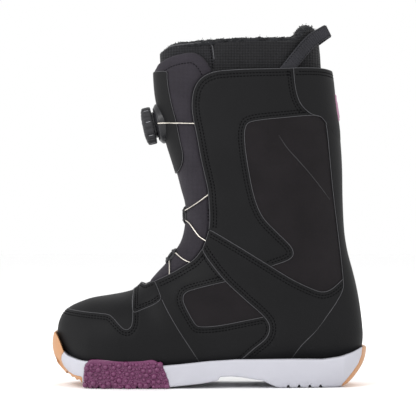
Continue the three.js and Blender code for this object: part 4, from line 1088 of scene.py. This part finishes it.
def make_liner():
    """The liner's outer face and its inside, joined over the rim, with the front flap, fleece and footbed."""
    outer = fields_for(skin_of(Surface(*LINER_FACE)), {"L": raised(LINER_TOP, 0), "E": TONGUE_SIDE})
    made = cut(outer, ["L"], levels=(0.3, 0.9, 1.6, 2.4))
    d = made.fields["edge"]
    waves = 0.35 * ripple(made.v, 32, 41) * np.clip(d / 6, 0, 1)
    lift = waves - rolled_edge(d, 2.4) - 0.25 * bell(d, 14, 1.0) + np.clip(1.2 - made.fields["E"], -3.4, 0)
    face = with_skirt(made.v + made.n * lift[:, None], made.n, made.f, 5.0)
    hollow = cut(fields_for(skin_of(inside(7.5, 4)), {"L": raised(LINER_TOP, -2)}), ["L"], levels=())
    v, f = merged([face, (hollow.v, hollow.f[:, ::-1])])
    obj = make("liner_padded", v, f, M["liner_fabric"], slot="liner_fabric")
    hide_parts("liner_body")

    flap = fields_for(skin_of(depths(FLAP_DEPTH, 9.5)), {"G": FLAP, "L": raised(LINER_TOP, 1)})
    obj, s, v, n = panel("liner_flap_mesh", flap, ["liner_flap"], M["liner_mesh"], ["G", "L"], radius=1.0,
                         wall=2.0, relief=soft(0.3, 26, 42), slot="liner_fabric", levels=(0.15, 0.5, 1.0),
                         rows={"G": (2.4,)})
    lines = [resampled(v[line], n[line], 1.6) for line in chains(s, "edge", 0.15, v[:, 2] > 296)]
    parts = [tube(p + m * 0.1, m, 0.55, 7) for p, m in lines if p is not None]
    make("liner_flap_piping", *merged(parts), M["piping"])
    sew("shell", "liner_flap", (0,))
    make_fleece()

    low = np.array([(-118, 0), (128, 0), (128, 41), (100, 37), (0, 33), (-90, 31), (-118, 35)], float)
    made = cut(fields_for(skin_of(inside(7.8, 8.3)), {"L": low}), ["L"], levels=(0.4, 1.0))
    lift = 0.3 * ripple(made.v, 30, 43) - 0.3 * rolled_edge(made.fields["edge"], 1.0)
    v, f = with_skirt(made.v - made.n * lift[:, None], -made.n, made.f[:, ::-1], 2.0)
    obj = make("footbed_cushion", v, f, M["footbed_fabric"], slot="footbed_fabric")
    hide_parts("footbed")


def make_fleece():
    """A thick pile band inside the leg that turns over the liner's rim."""
    outer = Surface(*[lambda q, face=face: face(q) + 1.4 for face in LINER_FACE])
    legs = np.linspace(LEG_TOP, -80, 60)
    outside, within = (np.array([made.ring(q, 128) for q in legs]) for made in (outer, inside(10.4, 10.4)))

    def at(line, z):
        order = np.argsort(line[:, 2])
        return np.array([np.interp(z, line[order, 2], line[order, k]) for k in range(3)])

    sections = []
    for j in range(outside.shape[1]):
        out_line, in_line = outside[:, j], within[:, j]
        high = np.interp(out_line[20, 0], *LINER_TOP.T)
        a, b = at(out_line, high - 1.5), at(in_line, high - 1.5)
        arc = [a]
        for t in np.linspace(0, math.pi, 11)[1:-1]:
            x, y, _ = (a + b) / 2 + (a - b) / 2 * math.cos(t)
            arc.append(np.array([x, y, high - 1.5 + 5.2 * math.sin(t)]))
        sections.append([*arc, b, *[at(in_line, z) for z in np.linspace(high - 5, 262, 26)]])
    g = np.array(sections).transpose(1, 0, 2)
    v, f = grid_mesh(g)
    # Row 6 lies just past the crest of the rim, so it has to face up.
    if vertex_normals(v, f).reshape(g.shape)[6][:, 2].mean() < 0:
        f = f[:, ::-1]
    skin = Skin(v, f)
    rng = np.random.default_rng(7)
    depth = 0.55 * ripple(v, 7, 51) + 0.35 * ripple(v, 3.5, 52) + rng.normal(0, 0.12, len(v))
    v = v + skin.n * depth[:, None]
    parts = [(v, f)]
    weights = np.where(v[:, 2] > 312, 1.0, 0.15)
    for k in rng.choice(len(v), 2600, p=weights / weights.sum()):
        n = unit(skin.n[k] + rng.normal(0, 0.45, 3))
        parts.append(curl(v[k] + rng.normal(0, 0.6, 3), n, rng))
    v, f = merged(parts)
    v[:, 2] = np.maximum(v[:, 2], 255)
    obj = make("liner_fleece", v, f, M["fleece"], slot="fleece")
    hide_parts("liner_fleece_collar")


def curl(p, n, rng):
    """One small curled tuft: a bent, tapering three-sided strand."""
    u = unit(np.cross(n, rng.normal(size=3)))
    length, bend = rng.uniform(0.6, 1.2), rng.uniform(0.5, 1.2)
    w = np.cross(n, u)
    rows = []
    for t, r in [(0, 0.42), (0.45, 0.34), (0.8, 0.22)]:
        c = p + n * (length * t - 0.3) + u * bend * t * t
        rows += [c + r * (math.cos(a) * u + math.sin(a) * w) for a in (0, 2.1, 4.2)]
    rows.append(p + n * (length * 0.85 - 0.3) + u * bend)
    f = [(0, 1, 4), (0, 4, 3), (1, 2, 5), (1, 5, 4), (2, 0, 3), (2, 3, 5), (3, 4, 7), (3, 7, 6), (4, 5, 8),
         (4, 8, 7), (5, 3, 6), (5, 6, 8), (6, 7, 9), (7, 8, 9), (8, 6, 9)]
    return np.array(rows), np.array(f)


make_liner()


# ---------------------------------------------------------------- dial
TILT = math.radians(12)
DIAL_AXIS = np.array([-math.cos(TILT), 0, -math.sin(TILT)])
DIAL_Q = station(0, 250.6)[0]
DIAL_FOOT = np.array([FAN_X + PAD_FACE.span(DIAL_Q)[0], 0, FAN_Z - DIAL_Q])
ACROSS = np.array([0.0, 1.0, 0.0])
GRIP_RADIUS = 18.1
UP = np.cross(DIAL_AXIS, ACROSS)


def dial_point(r, turn, h):
    return DIAL_FOOT + r * (math.cos(turn) * ACROSS + math.sin(turn) * UP) + h * DIAL_AXIS


def from_axis(v):
    """Each point's way out from the dial's axis, square to it."""
    return v - DIAL_FOOT - ((v - DIAL_FOOT) @ DIAL_AXIS)[:, None] * DIAL_AXIS


def turned(profile, segments=96, shape=None):
    """A turned piece from (radius, height) points; shape(radius, height, turn) may move a point in or out."""
    turns = np.arange(segments) * 2 * math.pi / segments
    v, f = grid_mesh([[dial_point(shape(r, h, t) if shape else r, t, h) for t in turns] for r, h in profile])
    weights = np.repeat([r for r, _ in profile], segments)
    return v, f if ((vertex_normals(v, f) * from_axis(v)).sum(1) * weights).sum() > 0 else f[:, ::-1]


def dial_piece(name, node, slot, body, v, f):
    obj = make(name, v, f, M[slot], body, slot)
    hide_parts(node)


def ears(r, h, t):
    """The flange's two ears, where the lace comes out."""
    return r + (0.9 * abs(math.cos(t)) ** 6 if r > 15 else 0) * (1 if h < 4 else 0.4)


def grips(r, h, t):
    """Broad finger grips, each with fine knurling."""
    if r < 16.4:
        return r
    lobe, fine = 0.5 + 0.5 * math.cos(16 * t), 0.5 + 0.5 * math.cos(64 * t)
    mid = math.sin(math.pi * min(max((h - 7.0) / 9.2, 0), 1)) ** 0.5
    return r - (0.95 * (1 - lobe) ** 1.6 + 0.12 * fine) * (0.35 + 0.65 * mid)


def make_dial():
    v, f = turned(softened([(19.6, -3.2), (19.5, 0.9), (18.9, 2.4), (16.4, 4.2), (15.6, 5.0), (10.3, 5.0),
                            (10.2, 1.4), (0.4, 1.4)], 0.6), 96, ears)
    dial_piece("dial_flange", "dial_base", "dial_plastic", "tongue", on_pad(v), f)
    ports = []
    for side in (-1, 1):
        path = np.array([DIAL_FOOT + ACROSS * side * y + DIAL_AXIS * h
                         for y, h in [(14.2, 3.4), (16.4, 3.3), (18.6, 3.0), (21.2, 2.5)]])
        ports.append(tube(path, np.tile(UP, (4, 1)), [1.5, 2.2, 2.0, 1.3], 14))
    make("dial_lace_ports", *merged(ports), M["dial_plastic"], "tongue", "dial_plastic")
    dial_piece("dial_housing_ring", "dial_housing", "dial_plastic", "tongue", *turned(softened([
        (10.2, 4.9), (12.6, 5.3), (12.6, 11.4), (12.0, 12.0), (7.4, 12.0), (7.4, 10.6), (10.2, 10.2),
        (10.2, 5.3)], 0.3), 72))
    dial_piece("dial_knob_core", "dial_knob", "dial_plastic", "dial_knob", *turned(softened([
        (12.95, 14.6), (12.95, 7.0), (15.7, 7.0), (15.7, 16.2), (15.0, 16.8), (12.9, 16.8), (12.9, 15.7),
        (4.6, 15.7), (4.6, 14.6), (12.95, 14.6)], 0.35)))
    dial_piece("dial_grip_ring", "dial_grip", "dial_rubber", "dial_knob", *turned([
        (15.9, 7.1), (17.3, 7.2), (17.9, 7.9), (GRIP_RADIUS, 9.4), (GRIP_RADIUS, 11.0), (GRIP_RADIUS, 12.6),
        (18.0, 14.2), (17.6, 15.3), (16.8, 15.9), (15.9, 15.9)], 320, grips))
    dial_piece("dial_cap_disc", "dial_cap", "dial_rubber", "dial_knob", *turned([
        (12.6, 15.9), (12.6, 16.7), (12.3, 17.1), (11.2, 17.35), (10.6, 17.1), (10.0, 17.35), (6.0, 17.65),
        (5.4, 17.4), (4.9, 17.7), (0.3, 17.75), (0.02, 17.75)], 72))
    marks = []
    for k in range(0, 16, 2):
        turn = (k + 0.5) * 2 * math.pi / 16
        low = GRIP_RADIUS - 0.95 * 0.9
        path = np.array([dial_point(low, turn, h) for h in (9.2, 10.2, 11.5, 12.8, 13.8)])
        out = unit(from_axis(path))
        marks.append(tube(path + out * 0.06, out, [0.12, 0.26, 0.3, 0.26, 0.12], 7))
    for k in range(6):
        path = np.array([dial_point(r, k * math.pi / 3 + 0.3 + 0.35 * (r - 6.4) / 4, h)
                         for r, h in [(6.6, 17.66), (7.6, 17.62), (8.6, 17.54), (9.6, 17.44)]])
        marks.append(tube(path, np.tile(DIAL_AXIS, (4, 1)), [0.15, 0.3, 0.3, 0.15], 7))
    make("dial_marks", *merged(marks), M["dial_print"], "dial_knob")


def on_pad(v):
    """The flange's foot follows the tongue pad that it stands on."""
    v = v.copy()
    for k in np.nonzero((v - DIAL_FOOT) @ DIAL_AXIS < 0)[0]:
        x, y, z = v[k]
        foot = on_front(PAD_FACE, (x, z), y) - DIAL_AXIS * 0.4
        v[k] = foot[0], y, foot[2]
    return v


make_dial()

# ---------------------------------------------------------------- lace and guides
LACE_RADIUS, LACE_STEPS = 0.6, 8
LACED = Surface(4.5)
OVER_PAD = depths(3.2, 3.0)


def lace_route(side):
    def low(points):
        return [on_side(LACED, p, side) for p in points]

    def turn_back(upper, lower):
        return [on_front(LACED, (upper[0] + (lower[0] - upper[0]) * t, upper[1] + (lower[1] - upper[1]) * t),
                         side * y) for t, y in [(0, 9.5), (0.16, 5.2), (0.5, 3.6), (0.84, 5.2), (1, 9.5)]]

    def in_dial(y, h):
        return DIAL_FOOT + ACROSS * side * y + DIAL_AXIS * h

    return [
        ("tongue", [in_dial(13.0, 3.5), in_dial(17.0, 3.2), in_dial(20.6, 2.6)]),
        ("span", [on_side(OVER_PAD, (-41, 250.3), side), on_side(OVER_PAD, (-31, 249.8), side),
                  *low([(-20, 249.4)])]),
        ("shell", low([(-11, 248.6), (-3, 244.5), (3.5, 234), (6, 219), (6.5, 205), (5, 192), (1.5, 184)])),
        ("span", low([(-6, 177.5), (-18, 169.5)])),
        ("tongue", turn_back((-22, 167), (-22, 158))),
        ("span", low([(-18, 155), (-8.5, 142.5)])),
        ("shell", low([(-1, 137), (2.5, 131), (0.5, 124.5), (-5.5, 119.5), (-11, 117.6), (-16, 117.4)])),
        ("span", [*low([(-23.5, 120.5)]), on_front(LACED, (-31, 126), side * 14.5)]),
        ("tongue", turn_back((-32.8, 127.5), (-38.8, 120.5))),
        ("span", low([(-37, 113.5)])),
        ("shell", [*low([(-37, 107), (-37.5, 102.5), (-41, 98), (-47, 95), (-53, 94.3)]),
                   on_front(LACED, (-60, 98.5), side * 22), on_front(LACED, (-61, 99), 0)]),
    ]


def centripetal(points, steps):
    """A smooth curve through points, as three.js draws its centripetal CatmullRomCurve3."""
    p = [np.asarray(a, float) for a in points]
    p = [2 * p[0] - p[1], *p, 2 * p[-1] - p[-2]]
    out = []
    for k in range(1, len(p) - 2):
        p0, p1, p2, p3 = p[k - 1:k + 3]
        d0, d1, d2 = (max(np.linalg.norm(b - a) ** 0.5, 1e-3) for a, b in ((p0, p1), (p1, p2), (p2, p3)))
        t1 = ((p1 - p0) / d0 - (p2 - p0) / (d0 + d1) + (p2 - p1) / d1) * d1
        t2 = ((p2 - p1) / d1 - (p3 - p1) / (d1 + d2) + (p3 - p2) / d2) * d1
        for t in np.arange(steps) / steps:
            cube, square = 2 * p1 - 2 * p2 + t1 + t2, -3 * p1 + 3 * p2 - 2 * t1 - t2
            out.append(cube * t**3 + square * t**2 + t1 * t + p1)
    return np.array(out + [p[-2]])


def make_lace():
    """The cable on each side, in stretches that lie on the shell or the tongue or span between them."""
    for word, side in SIDES:
        route = lace_route(side)
        path = centripetal([p for _, part in route for p in part], LACE_STEPS)
        ends = np.cumsum([0] + [len(part) for _, part in route])
        for k, (kind, _) in enumerate(route):
            span = int(kind == "span")
            got = path[(ends[k] - span) * LACE_STEPS:(ends[k + 1] - 1 + span) * LACE_STEPS + 1]
            v, f = tube(got, np.tile([0.0, 0.3, 1.0], (len(got), 1)), LACE_RADIUS, 10)
            obj = make(f"lace_{word}_{k}", v, f, M["lace_cable"], None if span else kind, "lace_cable")
            if span:
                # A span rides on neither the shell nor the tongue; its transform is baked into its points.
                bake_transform(obj)
    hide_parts("lace")


def crease():
    """One long slanting fold in the cuff window's cloth, coloured lighter than the cloth as a painted
    highlight along its crest.
    """
    at = Surface(0.62)
    line = spline([(66, 238), (74, 226), (84, 215), (93, 205), (104, 192), (115.5, 177)], 8)
    p = np.array([on_side(at, q, -1) for q in line])
    ease = np.sin(np.linspace(0.0, math.pi, len(p))) ** 0.4
    v, f = tube(p, np.tile([0.0, -1.0, 0.0], (len(p), 1)), 0.08 + 0.42 * ease, 8)
    make("cuff_window_outer_fold", v, f, M["fold"], slot="softshell_fabric")


make_lace()
crease()


def plate(rows, ahead):
    """An open sheet of points that faces forwards (ahead -1, towards the toe) or backwards (1)."""
    v, f = grid_mesh(rows, closed=False)
    return Skin(v, f if vertex_normals(v, f)[:, 0].mean() * ahead > 0 else f[:, ::-1])


def guide_loop(name, node, upper, lower):
    """A moulded guide on the tongue: a rounded saddle with a raised channel on each side for the lace."""
    u, w = np.array(upper, float), np.array(lower, float)
    base = Surface(6 - 0.3)
    half_length, half_width = 8.6, 9.6
    rows = []
    for t in np.linspace(-1, 1, 25):
        place, along = (u + w) / 2 + unit(w - u) * t * half_length, t * half_length
        half = half_width * max((1 - abs(t) ** 3.2) ** (1 / 3.2), 0.02)
        row = []
        for y in np.linspace(-1, 1, 31) * half:
            edge = min(half - abs(y), (1 - abs(t)) * half_length)
            rise = 1.5 * (1 - math.exp(-max(edge, 0) / 0.5))
            ridge = 1.5 * bell(abs(along), 4.6, 1.5) * (1 if edge > 0.3 else 0)
            hollow = -0.7 * bell(along, 0, 2.6) * (1 if abs(y) < 7 else 0.3)
            lift = rise + ridge + hollow - 0.2
            row.append(on_front(base, place, y) + front_normal(base, place, y) * lift)
        rows.append(row)
    skin = plate(rows, -1)
    parts = [with_skirt(skin.v, skin.n, skin.f, 1.6)]
    for side in (-1, 1):
        path = centripetal([on_front(LACED, u + (w - u) * t, side * y) for t, y in
                            [(-0.12, 9.9), (0.02, 7.6), (0.16, 5.4), (0.5, 4.2), (0.84, 5.4), (0.98, 7.6),
                             (1.12, 9.9)]], 6)
        out = np.array([front_normal(LACED, (p[0], p[2]), 0) for p in path])
        parts.append(tube(path + out * 0.25, out, 1.35, 12))
    obj = make(name, *merged(parts), M["dial_rubber"], "tongue", "dial_rubber")
    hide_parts(node)


def front_normal(surface, place, y):
    q, s = station(*place)
    here, beside = on_front(surface, place, y), on_front(surface, place, y + 0.5)
    n = unit(np.cross(beside - here, on_front(surface, point_at(q - 1.0, s), y) - here))
    return n if n[0] < 0 or (abs(n[0]) < 0.2 and n[2] > 0) else -n


guide_loop("upper_tongue_guide_loop", "upper_tongue_guide", (-22, 167), (-22, 158))
guide_loop("lower_tongue_guide_loop", "lower_tongue_guide", (-32.8, 127.5), (-38.8, 120.5))


# ---------------------------------------------------------------- pull loop and badge
COLLAR_CLEAR = 303  # the ribs and stitches of the loop start above the collar, which it swings in
WEB_WIDTH, WEB_HALF_THICKNESS, RIB_PITCH, RIB_HEIGHT = 12.5, 0.75, 2.7, 0.36


def make_pull_loop():
    anchored = Surface(SHELL_WALL + WEB_HALF_THICKNESS + 0.85)
    reach = WEB_WIDTH / 2

    def edge(hand):
        legs = [(67, 291), (72, 297), (80, 307), (90, 319.5), (98, 328)]
        turn = [(108.5, 335.5, -22), (113.5, 338.7, -11), (115, 339.2, 0)]
        one = [on_side(anchored, (x - hand * 0.69 * reach, z + hand * 0.72 * reach), -1) for x, z in legs]
        one += [np.array([x - hand * 0.45 * reach, y, z + hand * 0.89 * reach]) for x, z, y in turn]
        other = [p * [1, -1, 1] for p in one[:-1]][::-1]
        return centripetal([*one, *other], 16)

    upper, lower = edge(1), edge(-1)
    far = distances((upper + lower) / 2)
    count, cols = int(far[-1] / 0.42), 13
    at = np.linspace(0, far[-1], count)
    upper, lower = read_at(at, far, upper), read_at(at, far, lower)
    out = unit(np.cross(np.gradient((upper + lower) / 2, axis=0), upper - lower))
    rows = []
    for k in range(count):
        ring = []
        clear = min(max(0.0, ((upper[k] + lower[k])[2] / 2 - COLLAR_CLEAR) / 5), 1.0)
        rib = RIB_HEIGHT * clear * math.sin(2 * math.pi * at[k] / RIB_PITCH)
        for face in (1, -1):
            for t in np.arange(cols)[::face] / (cols - 1):
                side = min(t, 1 - t) * WEB_WIDTH
                thick = WEB_HALF_THICKNESS * min(1.0, math.sqrt(max(side, 0.0) / 0.5) + 0.15)
                h = thick + (rib if side > 1.6 else 0.14 * clear)
                ring.append(upper[k] + (lower[k] - upper[k]) * t + out[k] * face * h)
        rows.append(ring)
    v, f = grid_mesh(rows)
    last = len(v) - 2 * cols
    caps = np.array([[0, j, j + 1] for j in range(1, 2 * cols - 1)])
    f = outward(v, np.concatenate([f, caps, last + caps[:, [0, 2, 1]]]))
    obj = make("pull_loop_webbing", v, f, M["webbing"], "pull_loop", "webbing")
    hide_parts("pull_loop")
    parts = []
    for t in (0.1, 0.9):
        line = upper + (lower - upper) * t
        for face in (1, -1):
            seen = line[:, 2] > COLLAR_CLEAR + 2
            p, n = resampled((line + out * face * 0.9)[seen], (out * face)[seen], 1.0)
            parts += stitches(p, n, 2.6, 1.7, 0.2)
    make("pull_loop_stitching", *merged(parts), M["thread"], "pull_loop")


make_pull_loop()
BADGE_HALF, BADGE_LOW, BADGE_HIGH = 12.0, 252.6, 278.4


def make_badge():
    """A plain patch on the back with a generic mountain outline moulded on it."""
    base = Surface(-1.35)
    rows = []
    for z in np.linspace(BADGE_LOW, BADGE_HIGH, 27):
        q = station(120, z)[0]
        a, b = base.span(q)
        wide, power = WIDEST(q), ROUND_BELOW(q)
        row = []
        for y in np.linspace(-BADGE_HALF, BADGE_HALF, 25):
            sin = min(1.0, abs(y) / (HALF_WIDTH(q) + 0.3)) ** (power / 2)
            share = wide + (1 - wide) * math.sqrt(1 - sin * sin) ** (2 / power)
            edge = min(BADGE_HALF - abs(y), z - BADGE_LOW, BADGE_HIGH - z)
            rise = 0.75 * (1 - math.exp(-edge / 0.45)) + 0.25 * bell(edge, 1.7, 0.5)
            peak = 264.5 + 7 * max(0, 1 - abs(y + 2) / 5) + 4.5 * max(0, 1 - abs(y - 4) / 4)
            ridge = 0.55 / (1 + math.exp(-(peak - z) * 3)) * (1 if edge > 3 else 0)
            row.append((FAN_X + a + share * (b - a) + rise + ridge, CENTRE(q) + y, z))
        rows.append(row)
    skin = plate(rows, 1)
    v, f = with_skirt(skin.v, np.tile([1.0, 0, 0], (len(skin.v), 1)), skin.f, 1.2)
    obj = make("heel_badge_patch", v, f, M["badge_print"], slot="badge_print")
    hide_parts("heel_badge")


make_badge()

# The pieces of the frame that stay as they are, deep inside or under the quarters.
for name, obj in frame["nodes"].items():
    sub = next(part for part in frame["record"]["subparts"] if part["node"] == name)
    for slot in obj.material_slots:
        slot.material = M[sub["material_slot"]]
